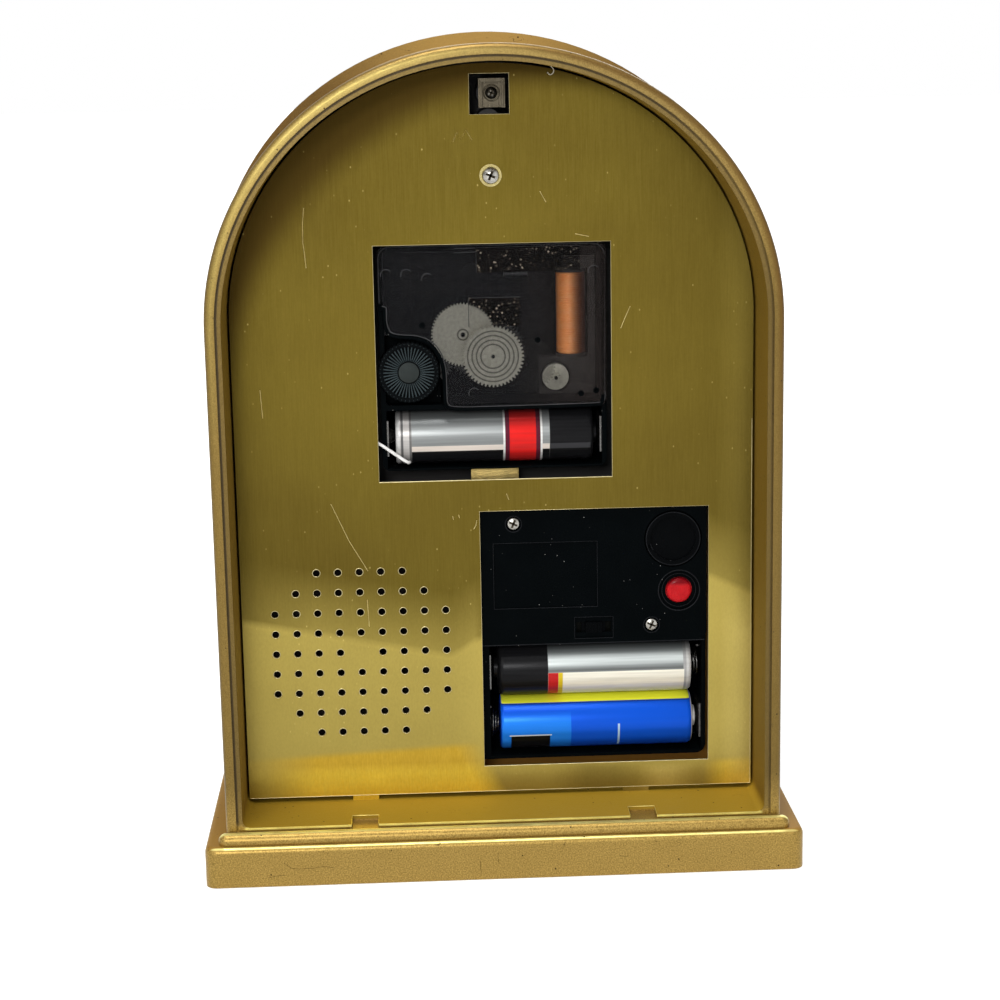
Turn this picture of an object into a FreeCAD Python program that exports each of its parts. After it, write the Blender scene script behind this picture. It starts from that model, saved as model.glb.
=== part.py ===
"""Musical table clock with an arched case, open at the back.

Units are millimetres. +Z is up, the dial looks along +Y and the open back along -Y. While the pieces are
made, Y is measured from the rear rim of the case. build() then moves them all, so that the origin is the
centre of the underside of the base.
"""
import FreeCAD, Part
import math
import os

V = FreeCAD.Vector

# Base and case
BASE_WIDTH = 148.4
BASE_DEPTH = 70.0
BASE_HEIGHT = 10.2
BASE_CORNER = 3.0
BASE_ROUND = 1.6
BASE_WALL = 2.4
BASE_RIB = 1.8
BASE_POCKETS = 8
BASE_REAR_OVERHANG = 5.0
CASE_WIDTH = 138.0
CASE_DEPTH = 52.0
CASE_WALL = 4.1
ARCH_RISE = 65.8
SPRING_HEIGHT = 136.7
FLOOR_THICKNESS = 3.3
FLOOR_CORNER = 2.0
RIM_ROUND = 1.5
RIM_BAND = 2.6
GROOVE_WIDTH = 0.5
GROOVE_DEPTH = 0.6
FLANGE_DEPTH = 4.0
FLANGE_SIDE = 1.6
FLANGE_TOP = 2.8
FLANGE_STEP_DEPTH = 1.2
BEAD_RADIUS = 1.9
BEAD_OVERHANG = 1.8
NOTCH_WIDTH = 6.7
NOTCH_SPACING = 69.3
NOTCH_LENGTH = 6.5
NOTCH_DEPTH = 1.2
EMBED = 1.0
FIT_GAP = 0.3
EDGE_BREAK = 0.4

# Front panel, dial, bezel and lens
PANEL_REAR = 36.0
PANEL_THICKNESS = 2.6
DIAL_DIAMETER = 104.0
DIAL_THICKNESS = 0.8
LENS_THICKNESS = 2.0
LENS_REAR = 47.0
BEZEL_DEPTH = 6.0
BEZEL_WIDTH = 6.0
LENS_INSET = 1.0
POST_RADIUS = 4.0
BRACKET_POST_RADIUS = 3.6
LATCH_POST_RADIUS = 3.0
LATCH_POST_DROP = 6.8
LUG_WIDTH = 12.0
LUG_HEIGHT = 2.9
LUG_REAR = 28.0

# Brass back plate with its sound holes and windows
PLATE_REAR = 18.2
PLATE_THICKNESS = 0.8
PLATE_GAP = 0.6
PLATE_LIFT = 1.1
TAB_WIDTH = 6.6
HOLE_DIAMETER = 1.75
HOLE_PITCH_X = 5.36
HOLE_PITCH_Z = 5.2
HOLE_COUNTS = (5, 7, 9, 9, 9, 9, 9, 7, 5)
SPEAKER_X = -34.6
SPEAKER_Z = 52.6
TOP_WINDOW = 9.7
TOP_WINDOW_Z = 190.5
MOVEMENT_WINDOW_WIDTH = 58.1
MOVEMENT_WINDOW_TOP = 154.7
MOVEMENT_WINDOW_BOTTOM = 96.1
MUSIC_WINDOW_LEFT = -4.2
MUSIC_WINDOW_RIGHT = 53.3
MUSIC_WINDOW_TOP = 88.1
MUSIC_WINDOW_BOTTOM = 21.4
PLATE_SCREW_Z = 171.1
SCREW_HEAD_RADIUS = 2.1
SCREW_HEAD_HEIGHT = 1.5
SCREW_DOME = ((0.55, 0.92), (0.88, 0.6), (1.0, 0.2))
SCREW_RADIUS = 1.1
SCREW_LENGTH = 9.0
WASHER_RADIUS = 2.7
WASHER_THICKNESS = 0.4

# Steel bracket in the top window
BRACKET_X = 0.9
BRACKET_Z = 190.6
BRACKET_WIDTH = 6.4
BRACKET_HEIGHT = 7.0
BRACKET_SHEET = 0.8
BRACKET_DEPTH = 2.4
BRACKET_REAR = 24.2
BRACKET_HEAD_RADIUS = 1.5

# Quartz movement
MOVEMENT_X = 0.1
MOVEMENT_Z = 126.4
MOVEMENT_SIZE = 56.0
MOVEMENT_STANDARD = 56.0
TRAIN = MOVEMENT_SIZE / MOVEMENT_STANDARD
MOVEMENT_REAR = 20.0
MOVEMENT_WALL = 1.2
MOVEMENT_CORNER = 2.0
COVER_THICKNESS = 1.2
CELL_RADIUS = 7.1
CELL_LENGTH = 49.5
NUB_RADIUS = 2.7
NUB_LENGTH = 1.0
CELL_GAP = 0.25
CLOCK_CELL_Z = MOVEMENT_Z - 20.2 * TRAIN
CLOCK_CELL_RADIUS = 7.1 * TRAIN
CLOCK_CELL_Y = 27.4
CLOCK_CELL_SIDE = 3.3
CLOCK_NUB_SIDE = 2.2
BAY_WALL = 1.3
PIN_RADIUS = 0.4 * TRAIN
RUNNING_GAP = 0.06
BUSH_RADIUS = 3.9 * TRAIN
BUSH_END = 41.6
NUT_WIDTH = 12.0 * TRAIN
NUT_THICKNESS = 1.7
CONTACT_THICKNESS = 0.4
CONTACT_WIDTH = 9.0
CONTACT_GAP = 0.1
BOSS_RADIUS = 2.4

# Wheel train, teeth counts and modules
WHEEL_THICKNESS = 1.0
SECOND_TEETH = 48
SECOND_MODULE = 0.3125 * TRAIN
THIRD_TEETH = 60
SECOND_PINION_TEETH = 10
THIRD_DISTANCE = 9.02 * TRAIN
THIRD_ANGLE = 144.0
CENTRE_TEETH = 60
THIRD_PINION_TEETH = 6
STEP_PINION_TEETH = 10
STEP_TEETH = 50
ROTOR_PINION_TEETH = 8
STEP_MODULE = 0.269 * TRAIN
ROTOR_X = 15.7 * TRAIN
ROTOR_Z = -6.0 * TRAIN
MOTION_MODULE = 0.3 * TRAIN
CANNON_TEETH = 10
MOTION_TEETH = 30
MOTION_PINION_TEETH = 8
HOUR_TEETH = 32
IDLER_TEETH = 24
SETTING_TEETH = 24
KNOB_X = -20.97 * TRAIN
KNOB_Z = -3.2 * TRAIN
KNOB_RADIUS = 7.5 * TRAIN
KNOB_THICKNESS = 2.8
KNOB_HUB_RADIUS = 2.8 * TRAIN
KNOB_SLEEVE_RADIUS = 1.8 * TRAIN
KNOB_RIBS = 40
KNOB_GRIP = ((-0.2, 1.0), (0.2, 1.0), (0.5, 0.95))
KNOB_DISH_SHARE = 0.84
BACKLASH = 0.16
ADDENDUM = 0.8
DEDENDUM = 1.15
FLANK = 0.34

# Levels of the train, each the rear face of a wheel
SECOND_LEVEL = 22.4
THIRD_LEVEL = 24.4
CENTRE_LEVEL = 27.0
MOTION_LEVEL = 30.4
HOUR_LEVEL = 32.2
PINION_OVERLAP = 0.2

# Shafts and hands
SECOND_SHAFT = 0.5
CANNON_RADIUS = 1.2 * TRAIN
HOUR_PIPE_RADIUS = 2.4 * TRAIN
HAND_THICKNESS = 0.4
HOUR_HAND_REAR = 42.3
MINUTE_HAND_REAR = 43.6
SECOND_HAND_REAR = 44.9
HOUR_HAND_LENGTH = 30.0
MINUTE_HAND_LENGTH = 42.0
SECOND_HAND_LENGTH = 44.0
SECOND_HAND_TAIL = 12.0
HAND_TAIL = 0.1
HOUR_HAND_WIDTH = 1.8
MINUTE_HAND_WIDTH = 1.5
SECOND_HAND_WIDTH = 0.5
HAND_SHOULDER = 0.6
HAND_HUB = 1.6
HOUR_HAND_ANGLE = 305.0
MINUTE_HAND_ANGLE = 60.0
SECOND_HAND_ANGLE = 210.0

# Circuit board and crystal of the movement
CLOCK_BOARD_LENGTH = 34.0 * TRAIN
CLOCK_BOARD_WIDTH = 11.0 * TRAIN
CLOCK_BOARD_RIGHT = 12.0 * TRAIN
CLOCK_BOARD_MARGIN = 3.0 * TRAIN
CHIP_RADIUS = 2.6
CHIP_HEIGHT = 0.8
CRYSTAL_RADIUS = 1.0
CRYSTAL_LENGTH = 6.0

# Step motor
ROTOR_RADIUS = 3.3 * TRAIN
ROTOR_REAR = 25.9
ROTOR_FRONT = 28.6
STATOR_THICKNESS = 0.8
STATOR_HOLE = 3.8 * TRAIN
STATOR_SPINE = 1.6
COIL_X = MOVEMENT_X + 19.7 * TRAIN
COIL_Y = 26.8
COIL_BOTTOM = MOVEMENT_Z - 0.8 * TRAIN
COIL_LENGTH = 21.9 * TRAIN
COIL_CORE = 2.0
COIL_RADIUS = 3.75 * TRAIN
FLANGE_PLATE = 0.8
WIRE_DIAMETER = 0.42
COIL_TURNS = 10

# Music module
MODULE_LEFT = -6.0
MODULE_RIGHT = 52.9
MODULE_BOTTOM = 22.4
MODULE_TOP = 90.0
MODULE_REAR = 19.6
MODULE_WALL = 1.2
MODULE_CORNER = 2.5
LID_THICKNESS = 1.2
LID_BOTTOM = 52.7
UPPER_CELL_Z = 45.0
LOWER_CELL_Z = 30.6
MODULE_CELL_Y = 27.1
UPPER_CELL_LEFT = -0.2
LOWER_CELL_LEFT = 0.3
DIAL_X = 44.5
DIAL_Z = 79.5
DIAL_RADIUS = 7.0
DIAL_RECESS = 2.2
DIAL_STAND = 0.2
DIAL_DISH_SHARE = 0.82
SOCKET_SHARE = 0.8
POINTER_TIP = 0.98
POINTER_BASE = 0.7
POINTER_DROP = 1.9
POINTER_HALF = 1.1
BUTTON_X = 46.0
BUTTON_Z = 66.0
BUTTON_RADIUS = 3.1
BUTTON_RECESS_RADIUS = 5.2
BUTTON_RECESS_DEPTH = 0.7
BUTTON_TRAVEL = 1.2
SWITCH_X = 24.3
SWITCH_Z = 56.9
SWITCH_SLOT_WIDTH = 9.8
SWITCH_SLOT_HEIGHT = 5.6
SWITCH_KNOB_WIDTH = 4.0
LABEL_LEFT = -0.9
LABEL_RIGHT = 25.3
LABEL_BOTTOM = 62.4
LABEL_TOP = 79.4
LABEL_DEPTH = 0.4
UPPER_SCREW_X = 4.3
UPPER_SCREW_Z = 84.3
LOWER_SCREW_X = 39.0
LOWER_SCREW_Z = 57.2
LID_HEAD_RADIUS = 1.6
LID_POST_RADIUS = 2.4
BOARD_REAR = 27.0
BOARD_THICKNESS = 1.2
SPRING_WIRE = 0.5
SPRING_TURNS = 2
SPRING_TIP_RADIUS = 2.0
SPRING_FOOT_RADIUS = 4.2
SPRING_SPACE = 2.6
TACT_HEIGHT = 2.4
LEG_EDGE = 4.0
LEG_LOW = 11.4
LEG_HIGH = 14.0

# Speaker behind the sound holes
SPEAKER_RADIUS = 25.5
SPEAKER_FLANGE = 1.0
SPEAKER_DEPTH = 14.0
MAGNET_RADIUS = 11.0
MAGNET_DEPTH = 5.0
BASKET_STEP = 3.0
CONE_THICKNESS = 0.5
CONE_SEAT = 0.6
CONE_ROLL_HEIGHT = 1.2
CONE_ROLL_OUT = 1.5
CONE_ROLL_IN = 3.5
CONE_TOP = 4.5
VOICE_RADIUS = 6.0
DUST_CAP_RADIUS = 3.5
DUST_CAP_RISE = 1.0

# Leads
LEAD_DIAMETER = 0.8
LEAD_BEND = 3.0
LEAD_TIGHT_BEND = 1.2
LEAD_START = 7.6
LEAD_OUTSIDE = 6.0
LEAD_ENTRY = 10.0
LEAD_DROP = 1.4
LEAD_RISE = 9.0
LEAD_LOW_SHARE = 0.36
SPEAKER_LEAD_SPREAD = 6.0
SPEAKER_LEAD_EDGE = 1.5
SPEAKER_LEAD_BACK = 4.0

# Places worked out from the sizes above
RIM = 0.0
BASE_REAR = RIM - BASE_REAR_OVERHANG
BASE_FRONT = BASE_REAR + BASE_DEPTH
BASE_MIDDLE = BASE_REAR + BASE_DEPTH / 2
CASE_HALF = CASE_WIDTH / 2
CASE_FRONT = RIM + CASE_DEPTH + FLANGE_DEPTH
FLOOR = BASE_HEIGHT + FLOOR_THICKNESS
INNER_HALF = CASE_HALF - CASE_WALL
INNER_RISE = ARCH_RISE - CASE_WALL
PLATE_FRONT = PLATE_REAR + PLATE_THICKNESS
PANEL_FRONT = PANEL_REAR + PANEL_THICKNESS
DIAL_FRONT = PANEL_FRONT + DIAL_THICKNESS
LENS_FRONT = LENS_REAR + LENS_THICKNESS
COVER_FRONT = MOVEMENT_REAR + COVER_THICKNESS
CLOCK_CELL_X = MOVEMENT_X - MOVEMENT_SIZE / 2 + CLOCK_CELL_SIDE
CLOCK_CELL_LENGTH = MOVEMENT_SIZE - CLOCK_CELL_SIDE - CLOCK_NUB_SIDE - NUB_LENGTH
CASE_INSIDE = PANEL_REAR - MOVEMENT_WALL
LID_FRONT = MODULE_REAR + LID_THICKNESS
MODULE_INSIDE = PANEL_REAR - MODULE_WALL
LID_SCREWS = ((UPPER_SCREW_X, UPPER_SCREW_Z), (LOWER_SCREW_X, LOWER_SCREW_Z))
BAY_LEFT = LOWER_CELL_LEFT - SPRING_SPACE
BAY_RIGHT = UPPER_CELL_LEFT + CELL_LENGTH + SPRING_SPACE
TACT_REAR = BOARD_REAR - TACT_HEIGHT
BAY_TOP = CLOCK_CELL_Z + CLOCK_CELL_RADIUS + CELL_GAP


def box(x0, x1, y0, y1, z0, z1):
    """Solid block between two corners."""
    return Part.makeBox(x1 - x0, y1 - y0, z1 - z0, V(x0, y0, z0))


def rod(x, z, radius, y0, y1):
    """Solid cylinder along Y."""
    return Part.makeCylinder(radius, y1 - y0, V(x, y0, z), V(0, 1, 0))


def tube(x, z, outer, inner, y0, y1):
    """Hollow cylinder along Y."""
    return rod(x, z, outer, y0, y1).cut(rod(x, z, inner, y0, y1))


def slab(wire, y0, y1):
    """Solid whose outline is drawn in X and Z, from y0 to y1."""
    face = Part.Face(wire)
    face.rotate(V(0, 0, 0), V(1, 0, 0), 90)
    face.translate(V(0, y0, 0))
    return face.extrude(V(0, y1 - y0, 0))


def arch_wire(half, rise, bottom):
    """Arch outline: two straight sides closed by half an ellipse."""
    centre = V(0, SPRING_HEIGHT, 0)
    oval = Part.Ellipse(centre, half, rise)
    crown = Part.Arc(oval, 0, math.pi).toShape()
    left = V(-half, SPRING_HEIGHT, 0)
    right = V(half, SPRING_HEIGHT, 0)
    corners = [left, V(-half, bottom, 0), V(half, bottom, 0), right]
    sides = [Part.makeLine(a, b) for a, b in zip(corners, corners[1:])]
    return Part.Wire(Part.__sortEdges__([crown] + sides))


def arch(inset, bottom, y0, y1):
    """Arch block set in from the outside of the case."""
    return slab(arch_wire(CASE_HALF - inset, ARCH_RISE - inset, bottom), y0, y1)


def seated_arch(inset, y0, y1):
    """Arch block that stands on the case floor, its lower corners rounded to clear the case's."""
    block = arch(inset, FLOOR, y0, y1)
    lower = [e for e in edges_along(block, V(0, 1, 0)) if abs(e.BoundBox.ZMin - FLOOR) < 0.001]
    return block.makeFillet(FLOOR_CORNER + FIT_GAP, lower)


def polygon(points):
    """Closed outline through points in X and Z."""
    corners = [V(x, z, 0) for x, z in points]
    return Part.makePolygon(corners + corners[:1])


def round_box(x0, x1, y0, y1, z0, z1, radius):
    """Block with its four edges along Y rounded."""
    block = box(x0, x1, y0, y1, z0, z1)
    return block.makeFillet(radius, edges_along(block, V(0, 1, 0)))


def edges_along(shape, direction):
    """Straight edges of a shape that run along a direction."""
    found = []
    for edge in shape.Edges:
        if edge.Curve.TypeId == "Part::GeomLine":
            if abs(edge.tangentAt(edge.FirstParameter).dot(direction)) > 0.999:
                found.append(edge)
    return found


def edges_at(shape, axis, value):
    """Edges whose every point has one coordinate equal to a value."""
    found = []
    for edge in shape.Edges:
        limits = edge.BoundBox
        low = (limits.XMin, limits.YMin, limits.ZMin)[axis]
        high = (limits.XMax, limits.YMax, limits.ZMax)[axis]
        if abs(low - value) < 0.001 and abs(high - value) < 0.001:
            found.append(edge)
    return found


def spun(points, x, z):
    """Solid of revolution about a Y axis through x and z, from (radius, y) points."""
    corners = [V(radius, y, 0) for radius, y in points]
    face = Part.Face(Part.makePolygon(corners + corners[:1]))
    body = face.revolve(V(0, 0, 0), V(0, 1, 0), 360)
    body.translate(V(x, 0, z))
    return body


def smooth_tube(points, radius, bend):
    """Tube along straight runs joined by tangent arcs, and the tightest arc's radius."""
    edges = []
    start = points[0]
    for before, corner, after in zip(points, points[1:], points[2:]):
        into = (corner - before).normalize()
        out = (after - corner).normalize()
        half_turn = into.getAngle(out) / 2
        reach = bend * math.tan(half_turn)
        first = corner - into * reach
        last = corner + out * reach
        inward = (out - into).normalize()
        middle = corner + inward * (bend / math.cos(half_turn) - bend)
        edges.append(Part.makeLine(start, first))
        edges.append(Part.Arc(first, middle, last).toShape())
        start = last
    edges.append(Part.makeLine(start, points[-1]))
    path = Part.Wire(edges)
    ring = Part.Wire(Part.makeCircle(radius, points[0], points[1] - points[0]))
    return path.makePipeShell([ring], True, False)


def gear_points(teeth, module, phase):
    """Outline of a wheel with straight-flanked teeth, one of them centred on the phase angle."""
    pitch_radius = module * teeth / 2
    levels = ((-DEDENDUM, FLANK), (ADDENDUM, FLANK))
    thickness = math.pi * module / 4 * (1 - BACKLASH)
    points = []
    for tooth in range(teeth):
        centre = phase + 2 * math.pi * tooth / teeth
        for side, height in ((-1, levels[0][0]), (-1, levels[1][0]), (1, levels[1][0]), (1, levels[0][0])):
            radius = pitch_radius + height * module
            half = (thickness - height * module * FLANK) / pitch_radius
            angle = centre + side * half
            points.append((radius * math.cos(angle), radius * math.sin(angle)))
    return points


def gear(x, z, teeth, module, phase, y0, y1):
    """Toothed disc on a Y axis."""
    points = [(x + px, z + pz) for px, pz in gear_points(teeth, module, phase)]
    return slab(polygon(points), y0, y1)


def mesh_phase(axis_a, teeth_a, phase_a, axis_b, teeth_b):
    """Phase of wheel b whose gap faces a tooth of wheel a on the line between the axes."""
    line = math.atan2(axis_b[1] - axis_a[1], axis_b[0] - axis_a[0])
    return line + math.pi + ((line - phase_a) * teeth_a - math.pi) / teeth_b


def meeting_point(a, reach_a, b, reach_b, side):
    """Point at given distances from a and from b, on one side of the line between them."""
    apart = math.dist(a, b)
    along = (apart ** 2 + reach_a ** 2 - reach_b ** 2) / (2 * apart)
    across = side * math.sqrt(max(reach_a ** 2 - along ** 2, 0.0))
    ux, uz = (b[0] - a[0]) / apart, (b[1] - a[1]) / apart
    return (a[0] + ux * along - uz * across, a[1] + uz * along + ux * across)


# Axes of the train, in X and Z
CENTRE = (MOVEMENT_X, MOVEMENT_Z)
THIRD = (MOVEMENT_X + THIRD_DISTANCE * math.cos(math.radians(THIRD_ANGLE)),
         MOVEMENT_Z + THIRD_DISTANCE * math.sin(math.radians(THIRD_ANGLE)))
THIRD_MODULE = 2 * THIRD_DISTANCE / (SECOND_PINION_TEETH + THIRD_TEETH)
CENTRE_MODULE = 2 * THIRD_DISTANCE / (THIRD_PINION_TEETH + CENTRE_TEETH)
ROTOR = (MOVEMENT_X + ROTOR_X, MOVEMENT_Z + ROTOR_Z)
STEP = meeting_point(CENTRE, SECOND_MODULE * (SECOND_TEETH + STEP_PINION_TEETH) / 2,
                     ROTOR, STEP_MODULE * (STEP_TEETH + ROTOR_PINION_TEETH) / 2, 1)
KNOB = (MOVEMENT_X + KNOB_X, MOVEMENT_Z + KNOB_Z)
MOTION_DISTANCE = MOTION_MODULE * (CANNON_TEETH + MOTION_TEETH) / 2
KNOB_ANGLE = math.atan2(KNOB_Z, KNOB_X)
MOTION = (MOVEMENT_X + MOTION_DISTANCE * math.cos(KNOB_ANGLE),
          MOVEMENT_Z + MOTION_DISTANCE * math.sin(KNOB_ANGLE))
IDLER = meeting_point(MOTION, MOTION_MODULE * (MOTION_TEETH + IDLER_TEETH) / 2,
                      KNOB, MOTION_MODULE * (IDLER_TEETH + SETTING_TEETH) / 2, 1)
SCREW_X = MOVEMENT_X

# Tooth phases, each worked out from the wheel that it meshes with
PHASES = {"second_wheel": 0.0, "second_pinion": 0.0, "third_pinion": 0.0, "step_wheel": 0.0,
          "cannon_pinion": 0.0, "motion_pinion": 0.0}
PHASES["third_wheel"] = mesh_phase(CENTRE, SECOND_PINION_TEETH, 0.0, THIRD, THIRD_TEETH)
PHASES["centre_wheel"] = mesh_phase(THIRD, THIRD_PINION_TEETH, 0.0, CENTRE, CENTRE_TEETH)
PHASES["step_pinion"] = mesh_phase(CENTRE, SECOND_TEETH, 0.0, STEP, STEP_PINION_TEETH)
PHASES["rotor_pinion"] = mesh_phase(STEP, STEP_TEETH, 0.0, ROTOR, ROTOR_PINION_TEETH)
PHASES["motion_wheel"] = mesh_phase(CENTRE, CANNON_TEETH, 0.0, MOTION, MOTION_TEETH)
PHASES["hour_wheel"] = mesh_phase(MOTION, MOTION_PINION_TEETH, 0.0, CENTRE, HOUR_TEETH)
PHASES["idler"] = mesh_phase(MOTION, MOTION_TEETH, PHASES["motion_wheel"], IDLER, IDLER_TEETH)
PHASES["setting"] = mesh_phase(IDLER, IDLER_TEETH, PHASES["idler"], KNOB, SETTING_TEETH)


def case_shell():
    """Arched case on its stepped base, one moulding with a rounded and grooved rear rim."""
    body = arch(0, BASE_HEIGHT - EMBED, RIM, CASE_FRONT)
    outline = [e for e in edges_at(body, 1, RIM) if e.BoundBox.ZMax > BASE_HEIGHT]
    body = body.makeFillet(RIM_ROUND, outline)
    step_rear = RIM + CASE_DEPTH - FLANGE_STEP_DEPTH
    step = slab(arch_wire(CASE_HALF + FLANGE_SIDE / 2, ARCH_RISE + FLANGE_TOP / 2, BASE_HEIGHT - EMBED),
                step_rear, CASE_FRONT)
    flange = slab(arch_wire(CASE_HALF + FLANGE_SIDE, ARCH_RISE + FLANGE_TOP, BASE_HEIGHT - EMBED),
                  RIM + CASE_DEPTH, CASE_FRONT)
    body = body.fuse([step, flange])
    plinth = box(-BASE_WIDTH / 2, BASE_WIDTH / 2, BASE_REAR, BASE_FRONT, 0, BASE_HEIGHT)
    plinth = plinth.makeFillet(BASE_CORNER, edges_along(plinth, V(0, 0, 1)))
    plinth = plinth.makeFillet(BASE_ROUND, edges_at(plinth, 2, BASE_HEIGHT))
    bead_half = CASE_HALF + BEAD_OVERHANG
    bead = Part.makeCylinder(BEAD_RADIUS, 2 * bead_half - 2 * BEAD_RADIUS,
                             V(-bead_half + BEAD_RADIUS, RIM - BEAD_RADIUS, BASE_HEIGHT + BEAD_RADIUS / 2),
                             V(1, 0, 0))
    ends = [Part.makeSphere(BEAD_RADIUS, V(side * (bead_half - BEAD_RADIUS), RIM - BEAD_RADIUS,
                                           BASE_HEIGHT + BEAD_RADIUS / 2)) for side in (-1, 1)]
    seat = box(-CASE_HALF, CASE_HALF, RIM - BEAD_RADIUS, RIM + EMBED, BASE_HEIGHT - EMBED,
               BASE_HEIGHT + BEAD_RADIUS / 2)
    body = body.fuse([plinth, bead, seat] + ends)
    inside = arch(CASE_WALL, FLOOR, RIM - EMBED, CASE_FRONT + EMBED)
    corners = [e for e in edges_along(inside, V(0, 1, 0)) if abs(e.BoundBox.ZMin - FLOOR) < 0.001]
    inside = inside.makeFillet(FLOOR_CORNER, corners)
    groove = arch(RIM_BAND, FLOOR - 2 * GROOVE_WIDTH, RIM - EMBED, RIM + GROOVE_DEPTH)
    groove = groove.cut(arch(RIM_BAND + GROOVE_WIDTH, FLOOR - GROOVE_WIDTH, RIM - 2 * EMBED, RIM + EMBED))
    keep = box(-BASE_WIDTH, BASE_WIDTH, RIM - 3 * EMBED, RIM, 0, BASE_HEIGHT + BEAD_RADIUS * 2)
    groove = groove.cut(keep)
    notches = []
    for side in (-1, 1):
        middle = side * NOTCH_SPACING / 2
        notches.append(box(middle - NOTCH_WIDTH / 2, middle + NOTCH_WIDTH / 2, RIM - EMBED,
                           RIM + NOTCH_LENGTH, FLOOR - NOTCH_DEPTH, FLOOR + EMBED))
    hollow = box(-BASE_WIDTH / 2 + BASE_WALL, BASE_WIDTH / 2 - BASE_WALL, BASE_REAR + BASE_WALL,
                 BASE_FRONT - BASE_WALL, -EMBED, BASE_HEIGHT - BASE_WALL)
    hollow = hollow.makeFillet(BASE_CORNER - BASE_WALL / 2, edges_along(hollow, V(0, 0, 1)))
    ribs = [box(-BASE_WIDTH / 2, BASE_WIDTH / 2, BASE_MIDDLE - BASE_RIB / 2, BASE_MIDDLE + BASE_RIB / 2,
                0, BASE_HEIGHT)]
    for column in range(1, BASE_POCKETS):
        middle = (column / BASE_POCKETS - 0.5) * BASE_WIDTH
        ribs.append(box(middle - BASE_RIB / 2, middle + BASE_RIB / 2, BASE_REAR, BASE_FRONT, 0, BASE_HEIGHT))
    hollow = hollow.cut(ribs[0].fuse(ribs[1:]))
    return body.cut([inside, groove, hollow] + notches).removeSplitter()


def front_panel():
    """Moulded panel that carries the dial in front and the movement, module and posts behind."""
    panel = seated_arch(CASE_WALL + FIT_GAP, PANEL_REAR, PANEL_FRONT)
    posts = [rod(SCREW_X, PLATE_SCREW_Z, POST_RADIUS, PLATE_FRONT, PANEL_REAR + EMBED),
             rod(BRACKET_X, BRACKET_Z, BRACKET_POST_RADIUS, BRACKET_REAR + BRACKET_SHEET, PANEL_REAR + EMBED),
             rod(SCREW_X, BRACKET_Z - LATCH_POST_DROP, LATCH_POST_RADIUS, BRACKET_REAR, PANEL_REAR + EMBED)]
    lug_top = MOVEMENT_Z - MOVEMENT_SIZE / 2 - FIT_GAP
    posts.append(box(MOVEMENT_X - LUG_WIDTH / 2, MOVEMENT_X + LUG_WIDTH / 2, LUG_REAR, PANEL_REAR + EMBED,
                     lug_top - LUG_HEIGHT, lug_top))
    panel = panel.fuse(posts)
    holes = [rod(MOVEMENT_X, MOVEMENT_Z, BUSH_RADIUS + FIT_GAP, PANEL_REAR - EMBED, PANEL_FRONT + EMBED),
             rod(SCREW_X, PLATE_SCREW_Z, SCREW_RADIUS, PLATE_FRONT - EMBED, PLATE_FRONT + SCREW_LENGTH),
             rod(BRACKET_X, BRACKET_Z, SCREW_RADIUS, BRACKET_REAR, BRACKET_REAR + SCREW_LENGTH)]
    return panel.cut(holes)


def dial_plate():
    """Round dial behind the hands."""
    return tube(MOVEMENT_X, MOVEMENT_Z, DIAL_DIAMETER / 2, BUSH_RADIUS + FIT_GAP, PANEL_FRONT, DIAL_FRONT)


def front_lens():
    """Flat clear window behind the bezel."""
    return seated_arch(CASE_WALL + FIT_GAP + LENS_INSET, LENS_REAR, LENS_FRONT)


def front_bezel():
    """Arched brass ring that holds the lens."""
    ring = seated_arch(CASE_WALL + FIT_GAP, LENS_FRONT, LENS_FRONT + BEZEL_DEPTH)
    opening = arch(CASE_WALL + FIT_GAP + BEZEL_WIDTH, FLOOR + BEZEL_WIDTH, LENS_FRONT - EMBED,
                   LENS_FRONT + BEZEL_DEPTH + EMBED)
    relief = arch(CASE_WALL + FIT_GAP + BEZEL_WIDTH / 2, FLOOR + BEZEL_WIDTH / 2,
                  LENS_FRONT + BEZEL_DEPTH - EMBED, LENS_FRONT + BEZEL_DEPTH + EMBED)
    return ring.cut([opening, relief])


def back_plate():
    """Brass sheet with three windows, a screw hole and the field of sound holes."""
    sheet = arch(CASE_WALL + PLATE_GAP, FLOOR + PLATE_LIFT, PLATE_REAR, PLATE_FRONT)
    tabs = []
    for side in (-1, 1):
        middle = side * NOTCH_SPACING / 2
        tabs.append(box(middle - TAB_WIDTH / 2, middle + TAB_WIDTH / 2, PLATE_REAR, PLATE_FRONT,
                        FLOOR, FLOOR + 2 * PLATE_LIFT))
    sheet = sheet.fuse(tabs)
    before, after = PLATE_REAR - EMBED, PLATE_FRONT + EMBED
    half = MOVEMENT_WINDOW_WIDTH / 2
    cuts = [box(MOVEMENT_X - half, MOVEMENT_X + half, before, after, MOVEMENT_WINDOW_BOTTOM,
                MOVEMENT_WINDOW_TOP),
            box(MUSIC_WINDOW_LEFT, MUSIC_WINDOW_RIGHT, before, after, MUSIC_WINDOW_BOTTOM, MUSIC_WINDOW_TOP),
            box(MOVEMENT_X - TOP_WINDOW / 2, MOVEMENT_X + TOP_WINDOW / 2, before, after,
                TOP_WINDOW_Z - TOP_WINDOW / 2, TOP_WINDOW_Z + TOP_WINDOW / 2),
            rod(SCREW_X, PLATE_SCREW_Z, SCREW_RADIUS + FIT_GAP, before, after)]
    middle_row = len(HOLE_COUNTS) // 2
    for row, count in enumerate(HOLE_COUNTS):
        z = SPEAKER_Z + (middle_row - row) * HOLE_PITCH_Z
        for column in range(count):
            x = SPEAKER_X + (column - (count - 1) / 2) * HOLE_PITCH_X
            if row == middle_row and column == count // 2:
                continue
            cuts.append(rod(x, z, HOLE_DIAMETER / 2, before, after))
    return sheet.cut(cuts)


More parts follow.
